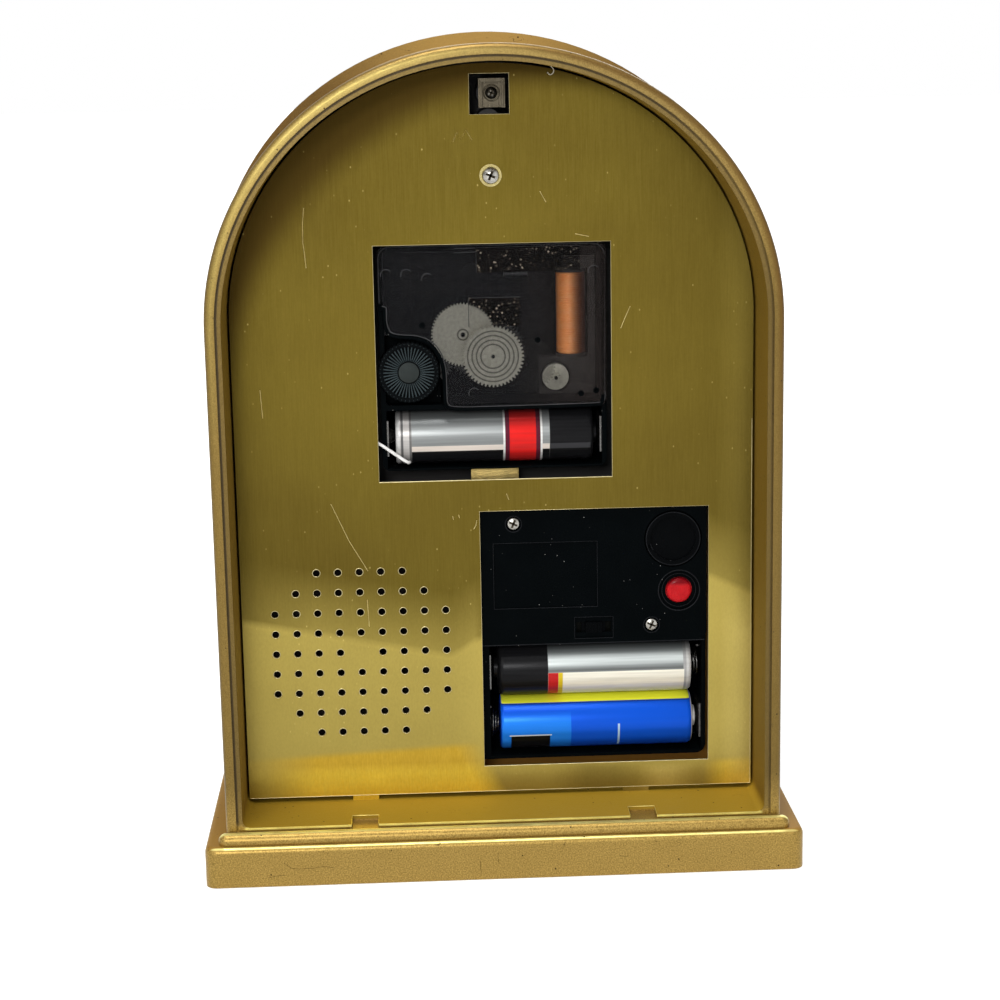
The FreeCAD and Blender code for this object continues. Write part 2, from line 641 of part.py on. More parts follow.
def pan_screw(x, z, seat, head_radius, head_height, length):
    """Pan-head screw whose head sits on a face and whose shank runs towards +Y."""
    dome = [(head_radius * out, seat - head_height * rise) for out, rise in SCREW_DOME]
    shank = [(head_radius, seat), (SCREW_RADIUS, seat), (SCREW_RADIUS, seat + length - SCREW_RADIUS),
             (0, seat + length)]
    return spun([(0, seat - head_height)] + dome + shank, x, z)


def top_bracket():
    """Steel channel screwed to its post."""
    left, right = BRACKET_X - BRACKET_WIDTH / 2, BRACKET_X + BRACKET_WIDTH / 2
    low, high = BRACKET_Z - BRACKET_HEIGHT / 2, BRACKET_Z + BRACKET_HEIGHT / 2
    channel = box(left, right, BRACKET_REAR - BRACKET_DEPTH, BRACKET_REAR + BRACKET_SHEET, low, high)
    space = box(left + BRACKET_SHEET, right - BRACKET_SHEET, BRACKET_REAR - BRACKET_DEPTH - EMBED,
                BRACKET_REAR, low - EMBED, high - BRACKET_SHEET)
    hole = rod(BRACKET_X, BRACKET_Z, SCREW_RADIUS + EDGE_BREAK, BRACKET_REAR - EMBED,
               BRACKET_REAR + BRACKET_SHEET + EMBED)
    return channel.cut([space, hole])


def movement_case():
    """Black moulded case with a gear space, a cell bay, bearing pins and a threaded bush."""
    left, right = MOVEMENT_X - MOVEMENT_SIZE / 2, MOVEMENT_X + MOVEMENT_SIZE / 2
    low, high = MOVEMENT_Z - MOVEMENT_SIZE / 2, MOVEMENT_Z + MOVEMENT_SIZE / 2
    shell = round_box(left, right, COVER_FRONT, PANEL_REAR, low, high, MOVEMENT_CORNER)
    gear_space = round_box(left + MOVEMENT_WALL, right - MOVEMENT_WALL, COVER_FRONT - EMBED, CASE_INSIDE,
                           BAY_TOP + BAY_WALL, high - MOVEMENT_WALL, MOVEMENT_CORNER / 2)
    bay = Part.makeCylinder(CLOCK_CELL_RADIUS + CELL_GAP, MOVEMENT_SIZE - 2 * MOVEMENT_WALL,
                            V(left + MOVEMENT_WALL, CLOCK_CELL_Y, CLOCK_CELL_Z), V(1, 0, 0))
    mouth = box(left + MOVEMENT_WALL, right - MOVEMENT_WALL, COVER_FRONT - EMBED, CLOCK_CELL_Y,
                CLOCK_CELL_Z - CLOCK_CELL_RADIUS - CELL_GAP, BAY_TOP)
    shell = shell.cut([gear_space, bay, mouth])
    shelf_right = KNOB[0] + KNOB_RADIUS + FIT_GAP
    shelf_top = KNOB[1] + KNOB_RADIUS + 2 * FIT_GAP
    shelf_rear = THIRD_LEVEL + WHEEL_THICKNESS + FIT_GAP
    shelf = box(left + EMBED, shelf_right, shelf_rear, shelf_rear + WHEEL_THICKNESS, BAY_TOP + EMBED, shelf_top)
    shelf = shelf.cut(rod(KNOB[0], KNOB[1], KNOB_SLEEVE_RADIUS + FIT_GAP, shelf_rear - EMBED,
                          shelf_rear + 2 * EMBED))
    pins = [rod(THIRD[0], THIRD[1], PIN_RADIUS, THIRD_LEVEL - EMBED, CASE_INSIDE + EMBED / 2),
            rod(STEP[0], STEP[1], PIN_RADIUS, SECOND_LEVEL - EMBED / 2, CASE_INSIDE + EMBED / 2),
            rod(ROTOR[0], ROTOR[1], PIN_RADIUS, THIRD_LEVEL - EMBED, CASE_INSIDE + EMBED / 2),
            rod(MOTION[0], MOTION[1], PIN_RADIUS, MOTION_LEVEL - EMBED, CASE_INSIDE + EMBED / 2),
            rod(IDLER[0], IDLER[1], PIN_RADIUS, MOTION_LEVEL - EMBED, CASE_INSIDE + EMBED / 2),
            rod(KNOB[0], KNOB[1], 2 * PIN_RADIUS, MOVEMENT_REAR + EMBED, CASE_INSIDE + EMBED / 2)]
    bush = rod(MOVEMENT_X, MOVEMENT_Z, BUSH_RADIUS, PANEL_REAR - EMBED, BUSH_END)
    bore = rod(MOVEMENT_X, MOVEMENT_Z, HOUR_PIPE_RADIUS + RUNNING_GAP, CASE_INSIDE - EMBED, BUSH_END + EMBED)
    knob_room = rod(KNOB[0], KNOB[1], KNOB_RADIUS + FIT_GAP, COVER_FRONT - EMBED,
                    MOVEMENT_REAR + KNOB_THICKNESS + FIT_GAP)
    return shell.cut(knob_room).fuse([shelf, bush] + pins).cut(bore)


def movement_cover():
    """Smoky clear cover, cut away round the setting knob."""
    left, right = MOVEMENT_X - MOVEMENT_SIZE / 2, MOVEMENT_X + MOVEMENT_SIZE / 2
    high = MOVEMENT_Z + MOVEMENT_SIZE / 2
    low = BAY_TOP + FIT_GAP
    sheet = round_box(left, right, MOVEMENT_REAR, COVER_FRONT, low, high, MOVEMENT_CORNER)
    cut_right = KNOB[0] + KNOB_RADIUS + 4 * FIT_GAP
    cut_top = KNOB[1] + KNOB_RADIUS + 6 * FIT_GAP
    before, after = MOVEMENT_REAR - EMBED, COVER_FRONT + EMBED
    corner = box(left - EMBED, KNOB[0], before, after, low - EMBED, cut_top)
    side = box(KNOB[0] - EMBED, cut_right, before, after, low - EMBED, KNOB[1])
    curve = rod(KNOB[0], KNOB[1], cut_right - KNOB[0], before, after)
    edge = box(left - EMBED, left + MOVEMENT_WALL, before, after, KNOB[1], high - 4 * MOVEMENT_SIZE / 16)
    return sheet.cut([corner, side, curve, edge])


def second_wheel():
    """Seconds wheel with its pinion, on the long shaft that carries the seconds hand."""
    wheel = gear(CENTRE[0], CENTRE[1], SECOND_TEETH, SECOND_MODULE, PHASES["second_wheel"], SECOND_LEVEL,
                 SECOND_LEVEL + WHEEL_THICKNESS)
    pinion = gear(CENTRE[0], CENTRE[1], SECOND_PINION_TEETH, THIRD_MODULE, PHASES["second_pinion"],
                  SECOND_LEVEL, THIRD_LEVEL + WHEEL_THICKNESS + PINION_OVERLAP)
    shaft = rod(CENTRE[0], CENTRE[1], SECOND_SHAFT, SECOND_LEVEL - EMBED / 2,
                SECOND_HAND_REAR + HAND_THICKNESS)
    return wheel.fuse([pinion, shaft])


def pinned_wheel(axis, wheel_teeth, wheel_module, wheel_phase, wheel_level, pinion_teeth, pinion_module,
                 pinion_phase, pinion_rear, pinion_front):
    """Wheel and pinion in one piece, turning on a pin of the case."""
    wheel = gear(axis[0], axis[1], wheel_teeth, wheel_module, wheel_phase, wheel_level,
                 wheel_level + WHEEL_THICKNESS)
    pinion = gear(axis[0], axis[1], pinion_teeth, pinion_module, pinion_phase, pinion_rear, pinion_front)
    bore = rod(axis[0], axis[1], PIN_RADIUS + RUNNING_GAP, pinion_rear - EMBED * 8, pinion_front + EMBED * 8)
    return wheel.fuse(pinion).cut(bore)


def third_wheel():
    """Wheel between the seconds pinion and the centre wheel."""
    return pinned_wheel(THIRD, THIRD_TEETH, THIRD_MODULE, PHASES["third_wheel"], THIRD_LEVEL,
                        THIRD_PINION_TEETH, CENTRE_MODULE, PHASES["third_pinion"], THIRD_LEVEL,
                        CENTRE_LEVEL + WHEEL_THICKNESS + PINION_OVERLAP)


def step_wheel():
    """Wheel between the rotor and the seconds wheel."""
    return pinned_wheel(STEP, STEP_TEETH, STEP_MODULE, PHASES["step_wheel"], THIRD_LEVEL,
                        STEP_PINION_TEETH, SECOND_MODULE, PHASES["step_pinion"],
                        SECOND_LEVEL - PINION_OVERLAP, THIRD_LEVEL + WHEEL_THICKNESS / 2)


def rotor():
    """Magnet of the step motor with its pinion behind."""
    magnet = rod(ROTOR[0], ROTOR[1], ROTOR_RADIUS, ROTOR_REAR, ROTOR_FRONT)
    pinion = gear(ROTOR[0], ROTOR[1], ROTOR_PINION_TEETH, STEP_MODULE, PHASES["rotor_pinion"],
                  THIRD_LEVEL - PINION_OVERLAP, ROTOR_REAR + EMBED)
    bore = rod(ROTOR[0], ROTOR[1], PIN_RADIUS + RUNNING_GAP, THIRD_LEVEL - EMBED, ROTOR_FRONT + EMBED)
    return magnet.fuse(pinion).cut(bore)


def centre_wheel():
    """Rim driven by the train, gripping the minute pipe as a slipping clutch."""
    wheel = gear(CENTRE[0], CENTRE[1], CENTRE_TEETH, CENTRE_MODULE, PHASES["centre_wheel"], CENTRE_LEVEL,
                 CENTRE_LEVEL + WHEEL_THICKNESS)
    bore = rod(CENTRE[0], CENTRE[1], CANNON_RADIUS + RUNNING_GAP, CENTRE_LEVEL - EMBED,
               CENTRE_LEVEL + WHEEL_THICKNESS + EMBED)
    return wheel.cut(bore)


def minute_pipe():
    """Pipe with the cannon pinion, from the centre wheel to the minute hand."""
    pipe = rod(CENTRE[0], CENTRE[1], CANNON_RADIUS, CENTRE_LEVEL, MINUTE_HAND_REAR + HAND_THICKNESS)
    seat = rod(CENTRE[0], CENTRE[1], CANNON_RADIUS * 2, CENTRE_LEVEL + WHEEL_THICKNESS, MOTION_LEVEL - FIT_GAP)
    pinion = gear(CENTRE[0], CENTRE[1], CANNON_TEETH, MOTION_MODULE, PHASES["cannon_pinion"],
                  MOTION_LEVEL - FIT_GAP, MOTION_LEVEL + WHEEL_THICKNESS + PINION_OVERLAP)
    bore = rod(CENTRE[0], CENTRE[1], SECOND_SHAFT + RUNNING_GAP, CENTRE_LEVEL - EMBED,
               MINUTE_HAND_REAR + HAND_THICKNESS + EMBED)
    return pipe.fuse([seat, pinion]).cut(bore)


def motion_wheel():
    """Wheel that slows the minute pipe down for the hour wheel."""
    return pinned_wheel(MOTION, MOTION_TEETH, MOTION_MODULE, PHASES["motion_wheel"], MOTION_LEVEL,
                        MOTION_PINION_TEETH, MOTION_MODULE, PHASES["motion_pinion"], MOTION_LEVEL,
                        HOUR_LEVEL + WHEEL_THICKNESS + PINION_OVERLAP)


def hour_wheel():
    """Hour wheel on its pipe."""
    wheel = gear(CENTRE[0], CENTRE[1], HOUR_TEETH, MOTION_MODULE, PHASES["hour_wheel"], HOUR_LEVEL,
                 HOUR_LEVEL + WHEEL_THICKNESS)
    pipe = rod(CENTRE[0], CENTRE[1], HOUR_PIPE_RADIUS, HOUR_LEVEL, HOUR_HAND_REAR + HAND_THICKNESS)
    bore = rod(CENTRE[0], CENTRE[1], CANNON_RADIUS + RUNNING_GAP, HOUR_LEVEL - EMBED,
               HOUR_HAND_REAR + HAND_THICKNESS + EMBED)
    return wheel.fuse(pipe).cut(bore)


def setting_idler():
    """Idler between the setting knob and the motion wheel."""
    wheel = gear(IDLER[0], IDLER[1], IDLER_TEETH, MOTION_MODULE, PHASES["idler"], MOTION_LEVEL,
                 MOTION_LEVEL + WHEEL_THICKNESS)
    bore = rod(IDLER[0], IDLER[1], PIN_RADIUS + RUNNING_GAP, MOTION_LEVEL - EMBED,
               MOTION_LEVEL + WHEEL_THICKNESS + EMBED)
    return wheel.cut(bore)


def setting_knob():
    """Ribbed knob with a sleeve and gear, turning on a pin of the case."""
    rim = gear_ring(KNOB, KNOB_RADIUS, KNOB_RIBS, MOVEMENT_REAR, MOVEMENT_REAR + KNOB_THICKNESS)
    dish = rod(KNOB[0], KNOB[1], KNOB_RADIUS * KNOB_DISH_SHARE, MOVEMENT_REAR - EMBED,
               MOVEMENT_REAR + KNOB_THICKNESS / 4)
    hub = rod(KNOB[0], KNOB[1], KNOB_HUB_RADIUS, MOVEMENT_REAR, MOVEMENT_REAR + KNOB_THICKNESS)
    sleeve = rod(KNOB[0], KNOB[1], KNOB_SLEEVE_RADIUS, MOVEMENT_REAR + KNOB_THICKNESS / 2,
                 MOTION_LEVEL + WHEEL_THICKNESS)
    wheel = gear(KNOB[0], KNOB[1], SETTING_TEETH, MOTION_MODULE, PHASES["setting"], MOTION_LEVEL,
                 MOTION_LEVEL + WHEEL_THICKNESS)
    bore = rod(KNOB[0], KNOB[1], 2 * PIN_RADIUS + RUNNING_GAP, MOVEMENT_REAR + EMBED - FIT_GAP,
               MOTION_LEVEL + WHEEL_THICKNESS + EMBED)
    return rim.cut(dish).fuse([hub, sleeve, wheel]).cut(bore)


def gear_ring(axis, radius, ribs, y0, y1):
    """Disc whose edge has shallow grip ribs."""
    points = []
    for rib in range(ribs):
        centre = 2 * math.pi * rib / ribs
        for share, height in KNOB_GRIP:
            angle = centre + share * 2 * math.pi / ribs
            points.append((axis[0] + radius * height * math.cos(angle),
                           axis[1] + radius * height * math.sin(angle)))
    return slab(polygon(points), y0, y1)


def stator():
    """Flat steel yoke round the rotor, joined through the coil."""
    top = COIL_BOTTOM + COIL_LENGTH
    rear = COIL_Y - STATOR_THICKNESS / 2
    front = rear + STATOR_THICKNESS
    right = COIL_X + COIL_RADIUS + 2 * FIT_GAP
    outer = right + STATOR_SPINE
    lower = box(ROTOR[0] - STATOR_HOLE - FIT_GAP, outer, rear, front, ROTOR[1] - STATOR_HOLE - EMBED / 2,
                COIL_BOTTOM)
    upper = box(COIL_X - COIL_CORE, outer, rear, front, top, top + 3 * EMBED)
    spine = box(right, outer, rear, front, ROTOR[1], top + 3 * EMBED)
    core = box(COIL_X - COIL_CORE / 2, COIL_X + COIL_CORE / 2, rear, front, COIL_BOTTOM - EMBED, top + EMBED)
    hole = rod(ROTOR[0], ROTOR[1], STATOR_HOLE, rear - EMBED, front + EMBED)
    return lower.fuse([upper, spine, core]).cut(hole)


def coil_bobbin():
    """Bobbin with two flanges."""
    top = COIL_BOTTOM + COIL_LENGTH
    barrel = Part.makeCylinder(COIL_CORE, COIL_LENGTH, V(COIL_X, COIL_Y, COIL_BOTTOM))
    plates = [Part.makeCylinder(COIL_RADIUS, FLANGE_PLATE, V(COIL_X, COIL_Y, z))
              for z in (COIL_BOTTOM, top - FLANGE_PLATE)]
    core = box(COIL_X - COIL_CORE / 2, COIL_X + COIL_CORE / 2, COIL_Y - STATOR_THICKNESS / 2,
               COIL_Y + STATOR_THICKNESS / 2, COIL_BOTTOM - EMBED, top + EMBED)
    return barrel.fuse(plates).cut(core)


def helix_points(turns, radius_start, radius_end, rise, steps):
    """Points of a helix about Z, whose radius may grow."""
    points = []
    for step in range(turns * steps + 1):
        share = step / (turns * steps)
        radius = radius_start + (radius_end - radius_start) * share
        angle = 2 * math.pi * step / steps
        points.append(V(radius * math.cos(angle), radius * math.sin(angle), rise * share))
    return points


def helix_gap(points, steps, diameter):
    """Least gap between neighbouring turns, measured on points."""
    apart = [a.distanceToPoint(b) for i, a in enumerate(points) for b in points[i + steps // 2:]]
    return min(apart) - diameter


def helix_tube(name, turns, radius_start, radius_end, rise, diameter):
    """One unbroken wire wound as a helix about Z from the origin, made of quarter-turn arc pairs."""
    steps = 8
    points = helix_points(turns, radius_start, radius_end, rise, steps)
    edges = []
    for first in range(0, len(points) - 2, 2):
        edges.append(Part.Arc(points[first], points[first + 1], points[first + 2]).toShape())
    path = Part.Wire(edges)
    ring = Part.Wire(Part.makeCircle(diameter / 2, points[0], edges[0].tangentAt(edges[0].FirstParameter)))
    fine = helix_points(turns, radius_start, radius_end, rise, 4 * steps)
    print(name, "least gap", round(helix_gap(fine, 4 * steps, diameter), 3))
    return path.makePipeShell([ring], True, False)


def copper_coil():
    """Winding: a plain core of copper with one open layer of wire on it."""
    inner_bottom = COIL_BOTTOM + FLANGE_PLATE
    inner_length = COIL_LENGTH - 2 * FLANGE_PLATE
    core_radius = COIL_RADIUS - WIRE_DIAMETER - 2 * EDGE_BREAK / 4
    core = Part.makeCylinder(core_radius, inner_length, V(COIL_X, COIL_Y, inner_bottom))
    core = core.cut(Part.makeCylinder(COIL_CORE, inner_length, V(COIL_X, COIL_Y, inner_bottom)))
    wire_radius = COIL_RADIUS - WIRE_DIAMETER / 2
    wire = helix_tube("copper_coil", COIL_TURNS, wire_radius, wire_radius,
                      inner_length - 2 * WIRE_DIAMETER, WIRE_DIAMETER)
    wire.translate(V(COIL_X, COIL_Y, inner_bottom + WIRE_DIAMETER))
    return core, wire


def clock_board():
    """Circuit board of the movement, on the floor of its case."""
    top = MOVEMENT_Z + MOVEMENT_SIZE / 2 - CLOCK_BOARD_MARGIN
    right = MOVEMENT_X + CLOCK_BOARD_RIGHT
    board = box(right - CLOCK_BOARD_LENGTH, right, CASE_INSIDE - BOARD_THICKNESS, CASE_INSIDE,
                top - CLOCK_BOARD_WIDTH, top)
    chip = Part.makeCylinder(CHIP_RADIUS, CHIP_HEIGHT, V(right - CLOCK_BOARD_LENGTH / 2,
                             CASE_INSIDE - BOARD_THICKNESS, top - CLOCK_BOARD_WIDTH / 2), V(0, -1, 0))
    return board.fuse(chip)


def crystal():
    """Watch crystal in its small can, lying on the board."""
    right = MOVEMENT_X + CLOCK_BOARD_RIGHT - CHIP_RADIUS
    middle = MOVEMENT_Z + MOVEMENT_SIZE / 2 - CLOCK_BOARD_MARGIN - CLOCK_BOARD_WIDTH / 2
    return Part.makeCylinder(CRYSTAL_RADIUS, CRYSTAL_LENGTH, V(right - CRYSTAL_LENGTH,
                             CASE_INSIDE - BOARD_THICKNESS - CRYSTAL_RADIUS, middle), V(1, 0, 0))


def cell(left, y, z, radius, length, nub_right):
    """Round battery along X with its raised end on one side."""
    body = Part.makeCylinder(radius, length, V(left, y, z), V(1, 0, 0))
    ends = [e for e in body.Edges if e.Curve.TypeId == "Part::GeomCircle"]
    body = body.makeFillet(EDGE_BREAK, ends)
    start = left + length if nub_right else left - NUB_LENGTH
    overlap = -EMBED if nub_right else 0
    nub = Part.makeCylinder(NUB_RADIUS, NUB_LENGTH + EMBED, V(start + overlap, y, z), V(1, 0, 0))
    return body.fuse(nub)


def contact_leaf(wall, y, z, cell_end):
    """Contact leaf on a bay wall, with a pressed boss that reaches to the end of the cell."""
    half = CONTACT_WIDTH / 2
    inward = 1 if cell_end > wall else -1
    low, high = sorted((wall, wall + inward * CONTACT_THICKNESS))
    leaf = box(low, high, y - half, y + half, z - half, z + half)
    boss = Part.makeCone(BOSS_RADIUS, BOSS_RADIUS / 2, abs(cell_end - wall) - CONTACT_GAP, V(wall, y, z),
                         V(inward, 0, 0))
    return leaf.fuse(boss)


def mounting_nut():
    """Six-sided nut on the bush."""
    corner = NUT_WIDTH / math.sqrt(3)
    points = [(MOVEMENT_X + corner * math.cos(math.pi * k / 3), MOVEMENT_Z + corner * math.sin(math.pi * k / 3))
              for k in range(6)]
    rear = DIAL_FRONT + WASHER_THICKNESS
    front = rear + NUT_THICKNESS
    return slab(polygon(points), rear, front).cut(rod(MOVEMENT_X, MOVEMENT_Z, BUSH_RADIUS + RUNNING_GAP,
                                                      rear - EMBED, front + EMBED))


def hand(length, tail, width, rear, bore, clock_degrees):
    """Tapered hand with a round hub, turned clockwise from twelve as seen from the dial side."""
    points = [(-width / 2, 0), (-width / 2, -tail), (width / 2, -tail), (width / 2, 0),
              (width, length * HAND_SHOULDER), (0, length), (-width, length * HAND_SHOULDER)]
    blade = slab(polygon(points), rear, rear + HAND_THICKNESS)
    hub = rod(0, 0, HAND_HUB + bore, rear, rear + HAND_THICKNESS)
    blade = blade.fuse(hub)
    if bore > 0:
        blade = blade.cut(rod(0, 0, bore, rear - EMBED, rear + EMBED))
    blade.rotate(V(0, 0, 0), V(0, -1, 0), clock_degrees)
    blade.translate(V(MOVEMENT_X, 0, MOVEMENT_Z))
    return blade


def module_case():
    """Black moulded box of the music module: a board space above and two cell bays below."""
    shell = round_box(MODULE_LEFT, MODULE_RIGHT, LID_FRONT, PANEL_REAR, MODULE_BOTTOM, MODULE_TOP,
                      MODULE_CORNER)
    left, right = MODULE_LEFT + MODULE_WALL, MODULE_RIGHT - MODULE_WALL
    divider = UPPER_CELL_Z + CELL_RADIUS + CELL_GAP
    upper = round_box(left, right, LID_FRONT - EMBED, MODULE_INSIDE, divider + MODULE_WALL,
                      MODULE_TOP - MODULE_WALL, MODULE_CORNER / 2)
    cuts = [upper]
    bay_left = BAY_LEFT
    for z in (UPPER_CELL_Z, LOWER_CELL_Z):
        cuts.append(Part.makeCylinder(CELL_RADIUS + CELL_GAP, BAY_RIGHT - bay_left,
                                      V(bay_left, MODULE_CELL_Y, z), V(1, 0, 0)))
    reach = CELL_RADIUS + CELL_GAP
    cuts.append(box(bay_left, BAY_RIGHT, LID_FRONT - EMBED, MODULE_CELL_Y, LOWER_CELL_Z - reach,
                    UPPER_CELL_Z + reach))
    shell = shell.cut(cuts)
    posts = [rod(x, z, LID_POST_RADIUS, LID_FRONT, MODULE_INSIDE + EMBED / 2) for x, z in LID_SCREWS]
    pilots = [rod(x, z, SCREW_RADIUS, LID_FRONT - EMBED, LID_FRONT + SCREW_LENGTH) for x, z in LID_SCREWS]
    return shell.fuse(posts).cut(pilots)


def module_lid():
    """Lid with holes for the controls, a bare label recess and sunk screw holes."""
    lid = round_box(MODULE_LEFT, MODULE_RIGHT, MODULE_REAR, LID_FRONT, LID_BOTTOM, MODULE_TOP, MODULE_CORNER)
    before, after = MODULE_REAR - EMBED, LID_FRONT + EMBED
    cuts = [rod(DIAL_X, DIAL_Z, DIAL_RADIUS + FIT_GAP, before, after),
            rod(BUTTON_X, BUTTON_Z, BUTTON_RADIUS + FIT_GAP, before, after),
            rod(BUTTON_X, BUTTON_Z, BUTTON_RECESS_RADIUS, before, MODULE_REAR + BUTTON_RECESS_DEPTH),
            box(SWITCH_X - SWITCH_SLOT_WIDTH / 2, SWITCH_X + SWITCH_SLOT_WIDTH / 2, before,
                MODULE_REAR + BUTTON_RECESS_DEPTH, SWITCH_Z - SWITCH_SLOT_HEIGHT / 2,
                SWITCH_Z + SWITCH_SLOT_HEIGHT / 2),
            box(SWITCH_X - SWITCH_SLOT_WIDTH / 2 + EMBED / 2, SWITCH_X + SWITCH_SLOT_WIDTH / 2 - EMBED / 2,
                before, after, SWITCH_Z - SWITCH_SLOT_HEIGHT / 4, SWITCH_Z + SWITCH_SLOT_HEIGHT / 4),
            box(LABEL_LEFT, LABEL_RIGHT, before, MODULE_REAR + LABEL_DEPTH, LABEL_BOTTOM, LABEL_TOP)]
    for x, z in LID_SCREWS:
        cuts.append(rod(x, z, LID_HEAD_RADIUS + FIT_GAP, before, MODULE_REAR + BUTTON_RECESS_DEPTH))
        cuts.append(rod(x, z, SCREW_RADIUS + FIT_GAP / 2, before, after))
    return lid.cut(cuts)


def volume_dial():
    """Round volume dial with a raised rim, a pointer notch and a shaft to the board."""
    rear = MODULE_REAR - DIAL_STAND
    disc = rod(DIAL_X, DIAL_Z, DIAL_RADIUS, rear, rear + DIAL_RECESS)
    dish = rod(DIAL_X, DIAL_Z, DIAL_RADIUS * DIAL_DISH_SHARE, rear - EMBED, rear + DIAL_RECESS / 3)
    tip, base = DIAL_X - DIAL_RADIUS * POINTER_TIP, DIAL_X - DIAL_RADIUS * POINTER_BASE
    middle = DIAL_Z - POINTER_DROP
    pointer = slab(polygon([(tip, middle), (base, middle + POINTER_HALF), (base, middle - POINTER_HALF)]),
                   rear - EMBED, rear + DIAL_RECESS / 3)
    shaft = rod(DIAL_X, DIAL_Z, DIAL_RADIUS / 4, rear + DIAL_RECESS / 2, BOARD_REAR - 2 * EMBED)
    return disc.cut([dish, pointer]).fuse(shaft)


def melody_button():
    """Round push button with a collar behind the lid and a stem to its switch."""
    rear = MODULE_REAR - DIAL_STAND
    cap = rod(BUTTON_X, BUTTON_Z, BUTTON_RADIUS, rear, LID_FRONT + EMBED)
    cap = cap.makeFillet(EDGE_BREAK, edges_at(cap, 1, rear))
    collar = rod(BUTTON_X, BUTTON_Z, BUTTON_RADIUS + EMBED, LID_FRONT + RUNNING_GAP, LID_FRONT + EMBED)
    stem = rod(BUTTON_X, BUTTON_Z, BUTTON_RADIUS / 2, LID_FRONT, TACT_REAR - BUTTON_TRAVEL - RUNNING_GAP)
    return cap.fuse([collar, stem])


def mode_switch():
    """Slide switch knob with its carrier behind the lid."""
    half = SWITCH_KNOB_WIDTH / 2
    quarter = SWITCH_SLOT_HEIGHT / 4 - RUNNING_GAP
    knob = box(SWITCH_X - half, SWITCH_X + half, MODULE_REAR, LID_FRONT + EMBED, SWITCH_Z - quarter,
               SWITCH_Z + quarter)
    carrier = box(SWITCH_X - half - EMBED, SWITCH_X + half + EMBED, LID_FRONT + RUNNING_GAP,
                  LID_FRONT + EMBED + RUNNING_GAP, SWITCH_Z - 2 * quarter, SWITCH_Z + 2 * quarter)
    return knob.fuse(carrier)


def module_board():
    """Circuit board of the module with its push switch, dial socket and slide switch base."""
    left, right = MODULE_LEFT + 2 * MODULE_WALL, MODULE_RIGHT - 2 * MODULE_WALL
    low = LID_BOTTOM + LID_POST_RADIUS + FIT_GAP
    board = box(left, right, BOARD_REAR, BOARD_REAR + BOARD_THICKNESS, low, MODULE_TOP - 2 * MODULE_WALL)
    for x, z in LID_SCREWS:
        board = board.cut(rod(x, z, LID_POST_RADIUS + FIT_GAP, BOARD_REAR - EMBED, BOARD_REAR + 3 * EMBED))
    tact = box(BUTTON_X - BUTTON_RADIUS, BUTTON_X + BUTTON_RADIUS, TACT_REAR, BOARD_REAR,
               BUTTON_Z - BUTTON_RADIUS, BUTTON_Z + BUTTON_RADIUS)
    socket = tube(DIAL_X, DIAL_Z, DIAL_RADIUS * SOCKET_SHARE, DIAL_RADIUS / 4 + RUNNING_GAP,
                  TACT_REAR - EMBED, BOARD_REAR)
    base = box(SWITCH_X - SWITCH_SLOT_WIDTH / 2, SWITCH_X + SWITCH_SLOT_WIDTH / 2, LID_FRONT + EMBED + FIT_GAP,
               BOARD_REAR, SWITCH_Z - SWITCH_SLOT_HEIGHT / 2, SWITCH_Z + SWITCH_SLOT_HEIGHT / 2)
    legs = [rod(x, z, LID_POST_RADIUS, BOARD_REAR + BOARD_THICKNESS, MODULE_INSIDE)
            for x, z in ((left + LEG_EDGE, low + LEG_LOW), (right - LEG_EDGE, MODULE_TOP - LEG_HIGH))]
    return board.fuse([tact, socket, base] + legs)


def cell_spring(x, z, towards):
    """Conical contact spring between the bay wall and a cell, one unbroken wire."""
    rise = SPRING_SPACE - SPRING_WIRE - CONTACT_GAP
    wire = helix_tube("cell_spring", SPRING_TURNS, SPRING_FOOT_RADIUS, SPRING_TIP_RADIUS, rise, SPRING_WIRE)
    wire.rotate(V(0, 0, 0), V(0, 1, 0), 90 * towards)
    wire.translate(V(x + towards * SPRING_WIRE / 2, MODULE_CELL_Y, z))
    return wire


def speaker_frame():
    """Pressed basket with its magnet, one turned shape."""
    back = PLATE_FRONT
    end = back + SPEAKER_DEPTH
    outer = [(SPEAKER_RADIUS, back), (SPEAKER_RADIUS, back + SPEAKER_FLANGE),
             (SPEAKER_RADIUS - BASKET_STEP, back + SPEAKER_FLANGE),
             (SPEAKER_RADIUS - 2 * BASKET_STEP, end - MAGNET_DEPTH - SPEAKER_FLANGE),
             (MAGNET_RADIUS, end - MAGNET_DEPTH), (MAGNET_RADIUS, end), (0, end)]
    inner = [(0, end - MAGNET_DEPTH), (MAGNET_RADIUS - SPEAKER_FLANGE, end - MAGNET_DEPTH - SPEAKER_FLANGE),
             (SPEAKER_RADIUS - 2 * BASKET_STEP - SPEAKER_FLANGE, end - MAGNET_DEPTH - 2 * SPEAKER_FLANGE),
             (SPEAKER_RADIUS - BASKET_STEP - SPEAKER_FLANGE, back + SPEAKER_FLANGE),
             (SPEAKER_RADIUS - BASKET_STEP - SPEAKER_FLANGE, back)]
    return spun(outer + inner, SPEAKER_X, SPEAKER_Z)


